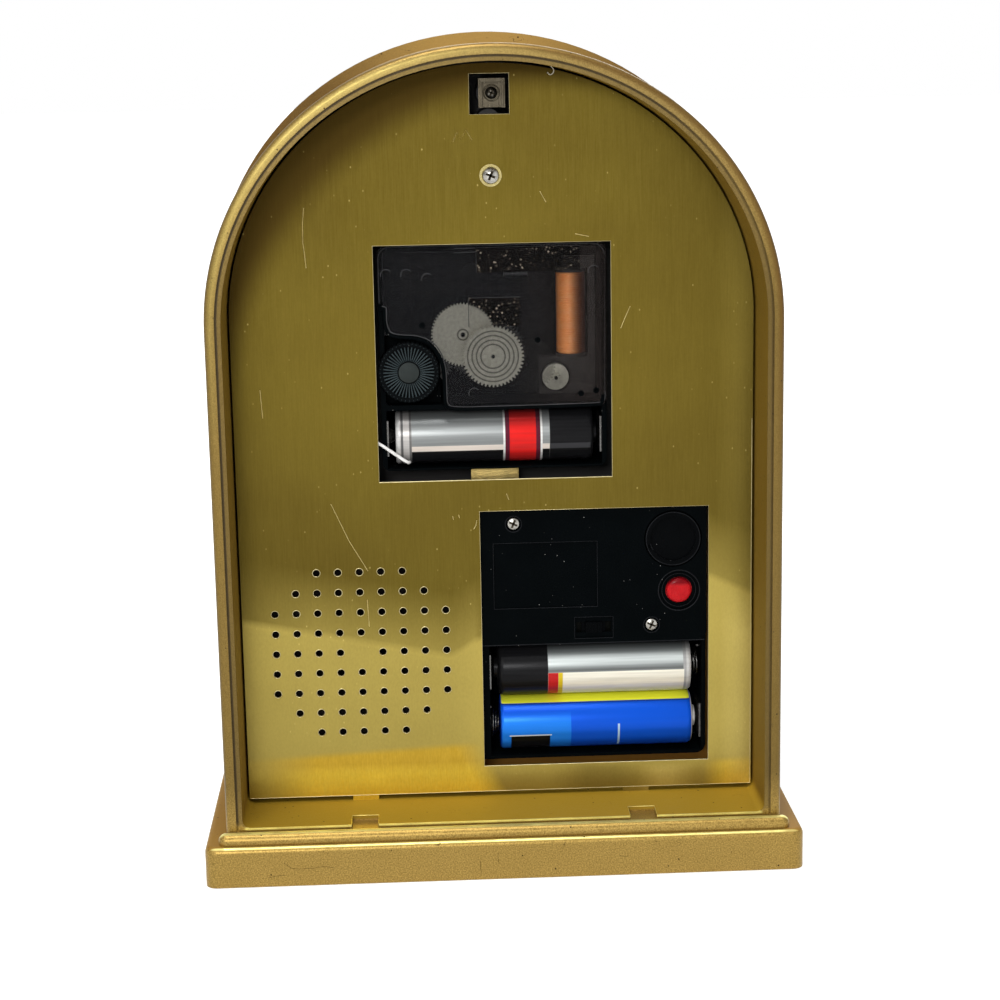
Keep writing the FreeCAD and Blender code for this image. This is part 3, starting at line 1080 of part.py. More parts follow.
def speaker_cone():
    """Paper cone inside the basket, with its rolled edge and dust cap."""
    back = PLATE_FRONT
    edge = SPEAKER_RADIUS - BASKET_STEP - SPEAKER_FLANGE
    skin = CONE_THICKNESS
    end = back + SPEAKER_DEPTH - MAGNET_DEPTH - SPEAKER_FLANGE
    roll = back + SPEAKER_FLANGE + CONE_ROLL_HEIGHT
    outer = [(edge, back + SPEAKER_FLANGE), (edge - CONE_ROLL_OUT, roll), (edge - CONE_ROLL_IN, roll),
             (edge - CONE_TOP, back + SPEAKER_FLANGE + skin), (VOICE_RADIUS, end - skin),
             (DUST_CAP_RADIUS, end - 2 * skin), (0, end - 2 * skin - DUST_CAP_RISE)]
    inner = [(0, end - 3 * skin - DUST_CAP_RISE), (DUST_CAP_RADIUS, end - 3 * skin),
             (VOICE_RADIUS, end - 2 * skin), (edge - CONE_TOP + skin, back + CONE_SEAT),
             (edge, back + CONE_SEAT)]
    return spun(outer + inner, SPEAKER_X, SPEAKER_Z)


def leads():
    """Two speaker leads and one white lead, each held along its whole route."""
    radius = LEAD_DIAMETER / 2
    found = {}
    magnet_end = PLATE_FRONT + SPEAKER_DEPTH
    for name, side in (("speaker_lead_a", 1), ("speaker_lead_b", -1)):
        x = SPEAKER_X + SPEAKER_RADIUS - BASKET_STEP + SPEAKER_LEAD_EDGE
        z = SPEAKER_Z + side * SPEAKER_LEAD_SPREAD
        behind = magnet_end - SPEAKER_LEAD_BACK
        route = [V(x, PLATE_FRONT + SPEAKER_FLANGE, z), V(x, behind, z), V(MODULE_LEFT, behind, z)]
        found[name] = smooth_tube(route, radius, LEAD_BEND)
    low = MOVEMENT_Z - MOVEMENT_SIZE / 2
    wall = CLOCK_CELL_Z - CLOCK_CELL_RADIUS - CELL_GAP
    behind = PLATE_FRONT + LEAD_DIAMETER
    lowest = MODULE_TOP + (low - MODULE_TOP) * LEAD_LOW_SHARE
    start = MOVEMENT_X - MOVEMENT_SIZE / 2 + LEAD_START
    outside = MOVEMENT_X - MOVEMENT_SIZE / 2 - LEAD_OUTSIDE
    entry = MODULE_LEFT + LEAD_ENTRY
    route = [V(start, behind + LEAD_DROP, wall), V(start, behind, wall + LEAD_RISE / 3),
             V(outside, behind, wall + LEAD_RISE), V(outside, behind, lowest),
             V(entry, behind + LEAD_DROP, lowest), V(entry, behind + LEAD_DROP, MODULE_TOP)]
    found["trigger_lead"] = smooth_tube(route, radius, LEAD_TIGHT_BEND)
    return found


def build():
    """All nodes by name."""
    nodes = {
        "case_shell": case_shell(),
        "front_panel": front_panel(),
        "dial_plate": dial_plate(),
        "front_lens": front_lens(),
        "front_bezel": front_bezel(),
        "back_plate": back_plate(),
        "plate_washer": tube(SCREW_X, PLATE_SCREW_Z, WASHER_RADIUS, SCREW_RADIUS + FIT_GAP / 2,
                             PLATE_REAR - WASHER_THICKNESS, PLATE_REAR),
        "plate_screw": pan_screw(SCREW_X, PLATE_SCREW_Z, PLATE_REAR - WASHER_THICKNESS, SCREW_HEAD_RADIUS,
                                 SCREW_HEAD_HEIGHT, SCREW_LENGTH - EMBED),
        "top_bracket": top_bracket(),
        "bracket_screw": pan_screw(BRACKET_X, BRACKET_Z, BRACKET_REAR, BRACKET_HEAD_RADIUS,
                                   EMBED, SCREW_LENGTH - 2 * EMBED),
        "movement_case": movement_case(),
        "movement_cover": movement_cover(),
        "second_wheel": second_wheel(),
        "third_wheel": third_wheel(),
        "step_wheel": step_wheel(),
        "rotor": rotor(),
        "centre_wheel": centre_wheel(),
        "minute_pipe": minute_pipe(),
        "motion_wheel": motion_wheel(),
        "hour_wheel": hour_wheel(),
        "setting_idler": setting_idler(),
        "setting_knob": setting_knob(),
        "stator": stator(),
        "coil_bobbin": coil_bobbin(),
        "clock_board": clock_board(),
        "crystal": crystal(),
        "clock_battery": cell(CLOCK_CELL_X, CLOCK_CELL_Y, CLOCK_CELL_Z, CLOCK_CELL_RADIUS,
                              CLOCK_CELL_LENGTH, True),
        "mounting_washer": tube(MOVEMENT_X, MOVEMENT_Z, NUT_WIDTH / 2 + EMBED, BUSH_RADIUS + FIT_GAP,
                                DIAL_FRONT, DIAL_FRONT + WASHER_THICKNESS),
        "mounting_nut": mounting_nut(),
        "module_case": module_case(),
        "module_lid": module_lid(),
        "volume_dial": volume_dial(),
        "melody_button": melody_button(),
        "mode_switch": mode_switch(),
        "module_board": module_board(),
        "upper_battery": cell(UPPER_CELL_LEFT, MODULE_CELL_Y, UPPER_CELL_Z, CELL_RADIUS, CELL_LENGTH, False),
        "lower_battery": cell(LOWER_CELL_LEFT, MODULE_CELL_Y, LOWER_CELL_Z, CELL_RADIUS, CELL_LENGTH, True),
        "speaker_frame": speaker_frame(),
        "speaker_cone": speaker_cone(),
    }
    nodes["hour_hand"] = hand(HOUR_HAND_LENGTH, HAND_TAIL, HOUR_HAND_WIDTH, HOUR_HAND_REAR, HOUR_PIPE_RADIUS,
                              HOUR_HAND_ANGLE)
    nodes["minute_hand"] = hand(MINUTE_HAND_LENGTH, HAND_TAIL, MINUTE_HAND_WIDTH, MINUTE_HAND_REAR,
                                CANNON_RADIUS, MINUTE_HAND_ANGLE)
    nodes["second_hand"] = hand(SECOND_HAND_LENGTH, SECOND_HAND_TAIL, SECOND_HAND_WIDTH, SECOND_HAND_REAR,
                                SECOND_SHAFT, SECOND_HAND_ANGLE)
    screws = [pan_screw(x, z, MODULE_REAR + BUTTON_RECESS_DEPTH, LID_HEAD_RADIUS, BUTTON_RECESS_DEPTH,
                        SCREW_LENGTH - 2 * EMBED) for x, z in LID_SCREWS]
    nodes["lid_screws"] = Part.makeCompound(screws)
    core, wire = copper_coil()
    nodes["coil_core"] = core
    nodes["coil_wire"] = wire
    bay_start = MOVEMENT_X - MOVEMENT_SIZE / 2 + MOVEMENT_WALL
    bay_end = MOVEMENT_X + MOVEMENT_SIZE / 2 - MOVEMENT_WALL
    clock_cell_end = CLOCK_CELL_X + CLOCK_CELL_LENGTH + NUB_LENGTH
    nodes["clock_contacts"] = Part.makeCompound([
        contact_leaf(bay_start, CLOCK_CELL_Y, CLOCK_CELL_Z, CLOCK_CELL_X),
        contact_leaf(bay_end, CLOCK_CELL_Y, CLOCK_CELL_Z, clock_cell_end)])
    nodes["module_contacts"] = Part.makeCompound([
        contact_leaf(BAY_LEFT, MODULE_CELL_Y, UPPER_CELL_Z, UPPER_CELL_LEFT - NUB_LENGTH),
        contact_leaf(BAY_RIGHT, MODULE_CELL_Y, LOWER_CELL_Z, LOWER_CELL_LEFT + CELL_LENGTH + NUB_LENGTH)])
    nodes["upper_spring"] = cell_spring(BAY_RIGHT, UPPER_CELL_Z, -1)
    nodes["lower_spring"] = cell_spring(BAY_LEFT, LOWER_CELL_Z, 1)
    nodes.update(leads())
    for shape in nodes.values():
        shape.translate(V(0, -BASE_MIDDLE, 0))
    return nodes


def main():
    os.makedirs("parts", exist_ok=True)
    for name, shape in build().items():
        shape.exportStep("parts/" + name + ".step")


main()
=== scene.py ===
import math
from functools import partial, reduce

import bpy
from bpy.props import FloatProperty, FloatVectorProperty, IntProperty, PointerProperty
from mathutils import Matrix, Vector


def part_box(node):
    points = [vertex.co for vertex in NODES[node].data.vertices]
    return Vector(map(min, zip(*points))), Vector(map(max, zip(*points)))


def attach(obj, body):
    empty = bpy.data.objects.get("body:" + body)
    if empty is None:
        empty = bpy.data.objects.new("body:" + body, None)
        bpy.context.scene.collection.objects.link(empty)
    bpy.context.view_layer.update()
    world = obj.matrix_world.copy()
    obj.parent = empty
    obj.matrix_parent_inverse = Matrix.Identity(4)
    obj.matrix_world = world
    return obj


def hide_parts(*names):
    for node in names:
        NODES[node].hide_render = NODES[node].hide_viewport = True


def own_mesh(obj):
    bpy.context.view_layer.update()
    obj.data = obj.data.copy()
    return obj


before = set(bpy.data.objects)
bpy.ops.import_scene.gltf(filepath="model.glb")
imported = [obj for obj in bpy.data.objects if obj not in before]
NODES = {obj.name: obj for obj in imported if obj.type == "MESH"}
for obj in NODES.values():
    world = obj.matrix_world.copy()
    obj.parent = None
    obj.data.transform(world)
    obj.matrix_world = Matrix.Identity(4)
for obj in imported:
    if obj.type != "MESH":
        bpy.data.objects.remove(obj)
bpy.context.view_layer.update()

bl_info = {
    "name": "Musical table clock",
    "version": (1, 0, 0),
    "blender": (4, 5, 0),
    "location": "View3D > Sidebar > Clock",
    "description": "Dresses an arched table clock seen from behind, with its movement and music module",
    "category": "Object",
}

MM = 0.001
# Turns a piece's own Z axis towards the rear
REAR = (math.radians(90), 0, 0)

# Half width, rise and spring height of the arch's rear rim, in millimetres
ARCH_HALF, ARCH_RISE, ARCH_SPRING = 65.4, 62.2, 136.7
# Middles of round features in X and Z
DIAL = (0.1, 126.4)
VOLUME = (44.5, 79.5)
BUTTON = (46.0, 66.0)
PLATE_SCREW = (0.1, 171.1)
BRACKET_SCREW = (0.9, 190.6)
LID_SCREWS = ((4.3, 84.3), (39.0, 57.2))
# Two corners of the fields moulded in the movement's cover
COVER_LABEL = ((-3.7, 147.4), (21.8, 153.6))
COVER_SQUARE = ((-5.8, 134.1), (6.75, 141.3))
# Radius of a lead
LEAD = 0.4
# Radius of a round cell, and a height beyond it for bands that go all the way round
CELL = 7.1
ROUND = 9


# Making and placing pieces, sizes in millimetres

def at(x, y, z):
    """A point given in millimetres."""
    return Vector((x, y, z)) * MM


def span_of(node):
    """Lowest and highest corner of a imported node, in millimetres."""
    low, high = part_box(node)
    return low / MM, high / MM


def middle_of(node):
    """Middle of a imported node, in millimetres."""
    return [(low + high) / 2 for low, high in zip(*span_of(node))]


def clear():
    """Back to object mode with nothing selected."""
    if bpy.context.mode != "OBJECT":
        bpy.ops.object.mode_set(mode="OBJECT")
    bpy.ops.object.select_all(action="DESELECT")


def only(piece):
    """Selects one piece and makes it active."""
    clear()
    piece.select_set(True)
    bpy.context.view_layer.objects.active = piece


def edit_all():
    """Goes into edit mode with the whole mesh selected."""
    bpy.ops.object.mode_set(mode="EDIT")
    bpy.ops.mesh.select_all(action="SELECT")


def active(name):
    """Names the piece that was just added."""
    piece = bpy.context.view_layer.objects.active
    piece.name = piece.data.name = name
    return piece


def add(name, data):
    """Puts new data in the scene as an object."""
    item = bpy.data.objects.new(name, data)
    bpy.context.scene.collection.objects.link(item)
    return item


def apply_place(piece):
    """Moves the object's place into its mesh."""
    only(piece)
    bpy.ops.object.transform_apply(location=True, rotation=True, scale=True)
    return piece


def shade(piece, degrees=35):
    """Smooth shading that keeps the sharp edges."""
    only(piece)
    bpy.ops.object.shade_smooth_by_angle(angle=math.radians(degrees))
    return piece


def block(name, low, high, bevel=0.0, steps=2):
    """A cube set between two corners, its edges bevelled."""
    clear()
    low, high = Vector(low), Vector(high)
    bpy.ops.mesh.primitive_cube_add(size=1, location=(low + high) / 2 * MM)
    piece = active(name)
    piece.scale = (high - low) * MM
    apply_place(piece)
    if bevel:
        edit_all()
        bpy.ops.mesh.bevel(offset=bevel * MM, segments=steps, affect="EDGES")
        clear()
        shade(piece)
    return piece


def turned(name, profile, centre, rotation=REAR, sides=40, angle=35):
    """A disc extruded from ring to ring; the profile's (radius, height) rings rise along its axis."""
    clear()
    radius, height = profile[0]
    bpy.ops.mesh.primitive_circle_add(vertices=sides, radius=radius * MM, fill_type="NGON",
                                      location=(0, 0, height * MM))
    piece = active(name)
    bpy.ops.object.transform_apply(location=True)
    edit_all()
    for wider, higher in profile[1:]:
        rise = (0, 0, (higher - height) * MM)
        bpy.ops.mesh.extrude_region_move(TRANSFORM_OT_translate={"value": rise})
        grow = wider / radius
        bpy.ops.transform.resize(value=(grow, grow, 1), center_override=(0, 0, higher * MM))
        radius, height = wider, higher
    bpy.ops.mesh.select_all(action="SELECT")
    bpy.ops.mesh.normals_make_consistent(inside=False)
    bpy.ops.object.mode_set(mode="OBJECT")
    piece.rotation_euler = rotation
    piece.location = Vector(centre) * MM
    apply_place(piece)
    return shade(piece, angle)


def ring(centre, radius, thickness, sides=32, around=8, name="ring"):
    """A round bead about an axis along Y."""
    clear()
    bpy.ops.mesh.primitive_torus_add(major_radius=radius * MM, minor_radius=thickness * MM,
                                     major_segments=sides, minor_segments=around,
                                     location=Vector(centre) * MM, rotation=REAR)
    piece = apply_place(active(name))
    bpy.ops.object.shade_smooth()
    return piece


def line(name, points, radius, closed=False, smooth=False, around=2):
    """A round wire along points, straight from point to point or one smooth curve."""
    clear()
    curve = bpy.data.curves.new(name, "CURVE")
    curve.dimensions = "3D"
    spline = curve.splines.new("NURBS" if smooth else "POLY")
    spline.points.add(len(points) - 1)
    for knot, place in zip(spline.points, points):
        knot.co = (*at(*place), 1)
    spline.use_cyclic_u = closed
    if smooth:
        spline.use_endpoint_u = not closed
        spline.order_u = 3
    curve.resolution_u = 8
    curve.bevel_depth = radius * MM
    curve.bevel_resolution = around
    curve.use_fill_caps = not closed
    only(add(name, curve))
    bpy.ops.object.convert(target="MESH")
    return shade(bpy.context.view_layer.objects.active, 60)


def joined(made, name):
    """Several pieces as one mesh."""
    clear()
    for piece in made:
        piece.select_set(True)
    bpy.context.view_layer.objects.active = made[0]
    if len(made) > 1:
        bpy.ops.object.join()
    return apply_place(active(name))


def copies(piece, places):
    """One piece at several places, each copy with its own mesh, and all joined."""
    made = [piece]
    for matrix in places[1:]:
        twin = add(piece.name, piece.data.copy())
        twin.data.transform(matrix)
        made.append(twin)
    piece.data.transform(places[0])
    return joined(made, piece.name)


def circled(piece, middle, count):
    """One piece copied evenly in a circle about a middle in X and Z."""
    x, z = middle
    return copies(piece, [Matrix.Translation(at(x, 0, z)) @ Matrix.Rotation(math.tau * step / count, 4, "Y")
                          for step in range(count)])


def cut(piece, tool):
    """Takes one piece out of another."""
    only(piece)
    less = piece.modifiers.new("cut", "BOOLEAN")
    less.operation = "DIFFERENCE"
    less.solver = "EXACT"
    less.object = tool
    bpy.ops.object.modifier_apply(modifier=less.name)
    bpy.data.objects.remove(tool)


def settle(piece, finish, slot, instead_of=(), body="clock_body"):
    """Gives a finished piece its material and its body; what it stands for, its slot, is not used."""
    piece.data.materials.clear()
    piece.data.materials.append(finish)
    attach(piece, body)
    if instead_of:
        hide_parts(*instead_of)


def wires(name, rows, finish, slot, extra=(), **kind):
    """Thin wires and other pieces as one; each row is its points, its radius and whether it closes."""
    made = [line("edge", *row, **kind) for row in rows]
    settle(joined([*made, *extra], name), finish, slot)


def dress(finish, *names):
    """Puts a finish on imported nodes."""
    for name in names:
        for holder in NODES[name].material_slots:
            holder.material = finish


def settings(context):
    """The sizes and colours of the clock."""
    return context.scene.table_clock


# Finishes, worked out from the place on the piece

def tint(red, green, blue):
    """A screen colour from 0 to 255 as a linear colour."""
    linear = []
    for part in (red, green, blue):
        share = min(part, 255) / 255
        linear.append(share / 12.92 if share < 0.04045 else ((share + 0.055) / 1.055) ** 2.4)
    return (*linear, 1)


# Pale straw colour of the painted highlights on the brass plate
PAINTED_GLEAM = tint(240, 218, 130)


class Finish:
    """A procedural finish built up on a Principled shader, in millimetres of the piece's own place."""

    def __init__(self, name, colour, metallic=0.0, **sockets):
        self.material = bpy.data.materials.new(name)
        self.material.use_nodes = True
        self.tree = self.material.node_tree
        self.shader = self.tree.nodes["Principled BSDF"]
        self.own_colour = colour
        self.tone = tint(*colour)
        for socket, value in {"Metallic": metallic, **sockets}.items():
            self.set(self.shader, socket.replace("_", " "), value)
        self.place = self.add("ShaderNodeTexCoord").outputs["Object"]
        self.x, self.y, self.z = self.add("ShaderNodeSeparateXYZ", {"Vector": self.stretched()}).outputs

    def set(self, node, socket, value):
        """Sets a socket to a number or colour, or links it."""
        if isinstance(value, bpy.types.NodeSocket):
            self.tree.links.new(value, node.inputs[socket])
        else:
            node.inputs[socket].default_value = value

    def add(self, kind, inputs=None, **choices):
        """Adds a node."""
        node = self.tree.nodes.new(kind)
        for name, value in choices.items():
            setattr(node, name, value)
        for socket, value in (inputs or {}).items():
            self.set(node, socket, value)
        return node

    def stretched(self, centre=(0, 0, 0), scale=(1, 1, 1)):
        """The place in millimetres from a centre, stretched along its axes."""
        moved = tuple(-c * s for c, s in zip(centre, scale))
        grown = tuple(s / MM for s in scale)
        return self.add("ShaderNodeMapping", {"Vector": self.place, "Location": moved,
                                              "Scale": grown}).outputs["Vector"]

    def noise(self, size, low=0.3, high=0.7, stretch=(1, 1, 1), detail=2.0, roughness=0.5, shift=(0, 0, 0)):
        """Soft noise from 0 to 1, whose blotches are about size millimetres."""
        field = self.add("ShaderNodeTexNoise", {"Vector": self.stretched(shift, stretch), "Scale": 1 / size,
                                                "Detail": detail, "Roughness": roughness})
        return self.span(field.outputs["Fac"], low, high)

    def dots(self, size, low, high, stretch=(1, 1, 1)):
        """Scattered dots, 1 within the low share of their spacing and 0 beyond the high one."""
        field = self.add("ShaderNodeTexVoronoi", {"Vector": self.stretched(scale=stretch), "Scale": 1 / size})
        return self.fall(field.outputs["Distance"], low, high)

    def span(self, value, low, high, to_low=0.0, to_high=1.0, soft=False):
        """Maps a range to another, clamped."""
        node = self.add("ShaderNodeMapRange", {"Value": value, "From Min": low, "From Max": high,
                                               "To Min": to_low, "To Max": to_high}, clamp=True)
        if soft:
            node.interpolation_type = "SMOOTHSTEP"
        return node.outputs["Result"]

    def fall(self, value, low, high, soft=False):
        """1 below a range, 0 above it."""
        return self.span(value, low, high, 1.0, 0.0, soft)

    def calc(self, work, a, b=0.0, c=0.0):
        """One sum."""
        node = self.add("ShaderNodeMath", operation=work)
        for number, value in enumerate((a, b, c)):
            self.set(node, number, value)
        return node.outputs[0]

    def less(self, a, b):
        """Difference of two values."""
        return self.calc("SUBTRACT", a, b)

    def total(self, *values):
        """Sum of values."""
        return reduce(partial(self.calc, "ADD"), values)

    def all_of(self, *shares):
        """Product of shares."""
        return reduce(partial(self.calc, "MULTIPLY"), shares)

    def any_of(self, *shares):
        """Greatest of shares."""
        return reduce(partial(self.calc, "MAXIMUM"), shares)

    def band(self, value, low, high, soft=0.1):
        """1 between two values and 0 outside them."""
        return self.all_of(self.span(value, low - soft, low + soft), self.fall(value, high - soft, high + soft))

    def patch(self, low, high, soft=0.15):
        """1 inside a rectangle in X and Z."""
        return self.all_of(self.band(self.x, low[0], high[0], soft), self.band(self.z, low[1], high[1], soft))

    def length(self, a, b):
        """Length of a line from its two parts."""
        return self.calc("SQRT", self.total(self.all_of(a, a), self.all_of(b, b)))

    def reach(self, x, z):
        """Distance in X and Z from a point."""
        return self.length(self.less(self.x, x), self.less(self.z, z))

    def own(self, red, green, blue):
        """The finish's own colour, its parts scaled."""
        return tint(*(part * scale for part, scale in zip(self.own_colour, (red, green, blue))))

    def mix(self, share, a, b):
        """Blends two colours."""
        node = self.add("ShaderNodeMix", data_type="RGBA")
        for number, value in ((0, share), (6, a), (7, b)):
            self.set(node, number, value)
        return node.outputs[2]

    def over(self, *shares_and_colour):
        """Lays a colour over the tone so far, by the product of the shares before it."""
        *shares, colour = shares_and_colour
        self.tone = self.mix(self.all_of(*shares), self.tone, colour)

    def done(self, rough, *bumps):
        """Links tone, roughness and relief; a bump is its height, its depth in millimetres and its strength."""
        self.set(self.shader, "Base Color", self.tone)
        self.set(self.shader, "Roughness", rough)
        for height, depth, *strength in bumps:
            node = self.add("ShaderNodeBump", {"Height": height, "Distance": depth * MM})
            if strength:
                self.set(node, "Strength", strength[0])
            for link in self.shader.inputs["Normal"].links:
                self.set(node, "Normal", link.from_socket)
            self.set(self.shader, "Normal", node.outputs["Normal"])
        return self.material


def speckled_paint(name, colour):
    """Sprayed metallic paint: fine grain, cloudy tone, black specks and hairlines, with painted shade on the arch's
    sides, crown, shoulders, outer edge, groove and inside, and painted highlights on its rims and edges.
    """
    f = Finish(name, colour, Specular_IOR_Level=0.2)
    x, y, z = f.x, f.y, f.z
    wide = f.calc("ABSOLUTE", x)
    risen = f.calc("DIVIDE", f.calc("MAXIMUM", f.less(z, ARCH_SPRING)), ARCH_RISE)
    far = f.length(risen, f.calc("DIVIDE", x, ARCH_HALF))
    rear = f.fall(y, -29.9, -29.3)
    skin = f.span(far, 1.046, 1.053)
    walls = f.all_of(skin, f.span(y, -28.2, -27.2))
    grain = f.noise(0.34, 0.34, 0.66, roughness=0.6)
    f.tone = f.mix(grain, f.own(0.82, 0.8, 0.68), f.own(1.14, 1.15, 1.18))
    f.over(f.noise(9), 0.2, f.own(0.88, 0.86, 0.76))
    # Painted shade: the arch's sides, towards the rear, are darkened.
    sides = f.all_of(f.span(wide, 50, 66), f.span(z, 14, 24), f.fall(z, 140, 190), f.span(x, -60, 60, 0.62, 0.72),
                     f.fall(y, -27, -22))
    f.over(sides, f.own(0.58, 0.56, 0.48))
    # Painted shade: the rear face is darkened towards the crown of the arch.
    f.over(rear, f.span(z, 140, 185, 0.0, 0.55), f.own(0.7, 0.72, 0.84))
    # Painted shade: the rounded outer band of the rear face is darkened low on the arch, most on the right.
    flank_shade = f.all_of(f.span(far, 1.024, 1.044), f.span(y, -29.4, -28.4, 1.0, 0.3), f.span(z, 92, 140),
                     f.span(x, -24, 14, 0.1, 0.6))
    f.over(flank_shade, f.own(0.62, 0.49, 0.3))
    # Painted highlight: a bright band along the rounded outer band of the rear face, strongest on the upper left.
    painted_sheen = f.all_of(f.band(far, 1.024, 1.044, 0.012), rear, f.span(z, 105, 185), f.span(x, -30, 20, 0.24, 0.0))
    f.over(painted_sheen, tint(240, 222, 128))
    f.over(f.fall(far, 1.006, 1.008), rear, f.span(z, 13.6, 15), 0.5, f.own(0.5, 0.5, 0.5))
    ledge = f.all_of(f.span(wide, 69.2, 69.6), f.fall(z, 10.6, 11.4), f.span(z, 9.4, 9.8), 0.9)
    f.over(ledge, f.own(0.98, 0.88, 0.56))
    # Painted shade: the outer walls are darker over the shoulders of the arch.
    f.over(walls, f.span(wide, 6, 30), f.span(z, 140, 170), 0.75, f.own(0.6, 0.49, 0.3))
    # Painted highlight: the top of the arch's outer face is lighter in the middle.
    f.over(skin, f.span(wide, 10, 44, 0.8, 0.0), f.span(z, 185, 195), f.own(1.14, 1.12, 1.16))
    # Painted highlights along the top of the bead, the plinth's top edge and the front edge of the case floor, broken
    # up by noise.
    highlight_breakup = f.noise(1.6, stretch=(0.3, 1, 1))
    crest_highlight = f.any_of(f.all_of(f.band(z, 12.25, 13.05, 0.2), f.band(y, -32.7, -31.0, 0.2), 1.3),
                     f.all_of(f.band(z, 9.7, 10.3, 0.16), f.fall(y, -34.3, -33.9)),
                     f.all_of(f.band(z, 12.9, 13.7, 0.1), f.band(y, -30.1, -29.3, 0.15), f.fall(wide, 64, 64.6)))
    f.over(crest_highlight, f.span(highlight_breakup, 0, 1, 0.4, 0.76), tint(255, 246, 156))
    # Painted shade: the outer face next to the rear rim is darkened.
    f.over(skin, f.fall(y, -28.0, -27.0), f.span(z, 13, 20), 0.5, f.own(0.5, 0.47, 0.32))
    # Painted shade in the groove round the rear face.
    groove = f.all_of(f.band(far, 1.0065, 1.0155, 0.002), f.fall(y, -29.2, -28.8), f.span(z, 13, 15),
                      f.span(x, 40, 64, 0.9, 0.5))
    f.over(groove, f.own(0.34, 0.3, 0.08))
    # Painted shade inside the case: the inner walls and floor in darker, more olive tones of the paint, the floor
    # darker towards the left.
    inside = f.all_of(f.fall(far, 1.0, 1.008), f.span(y, -29.9, -29.7), f.span(z, 12.4, 13.0))
    floor = f.mix(f.span(x, -62, -30, 0.78, 0.98), tint(0, 0, 0), f.own(1.06, 1.03, 0.52))
    f.over(inside, f.mix(f.fall(z, 13.8, 16.5), f.own(0.84, 0.79, 0.44), floor))
    curls = f.add("ShaderNodeTexNoise", {"Vector": f.stretched((3, 0, 7)), "Scale": 0.09, "Detail": 3.0,
                                         "Distortion": 1.2}).outputs["Fac"]
    hairs = f.all_of(f.band(curls, 0.4985, 0.5015, 0.0006), f.noise(11, 0.6, 0.64, shift=(9, 0, 0)), 0.7)
    f.over(f.any_of(f.all_of(f.dots(2.6, 0.07, 0.1), f.noise(7, 0.5, 0.56)), hairs), tint(52, 36, 12))
    matte = f.any_of(f.all_of(walls, f.span(z, 11, 12)), ledge)
    f.set(f.shader, "Metallic", f.span(f.any_of(inside, groove, matte), 0, 0.85, 0.6, 0.12))
    coarse = f.any_of(f.all_of(inside, 0.24), f.all_of(matte, 0.3))
    return f.done(f.total(f.span(grain, 0, 1, 0.33, 0.42), coarse), (f.noise(0.34, 0.2, 0.8), 0.012),
                  (f.noise(2.2, 0.2, 0.8), 0.03))


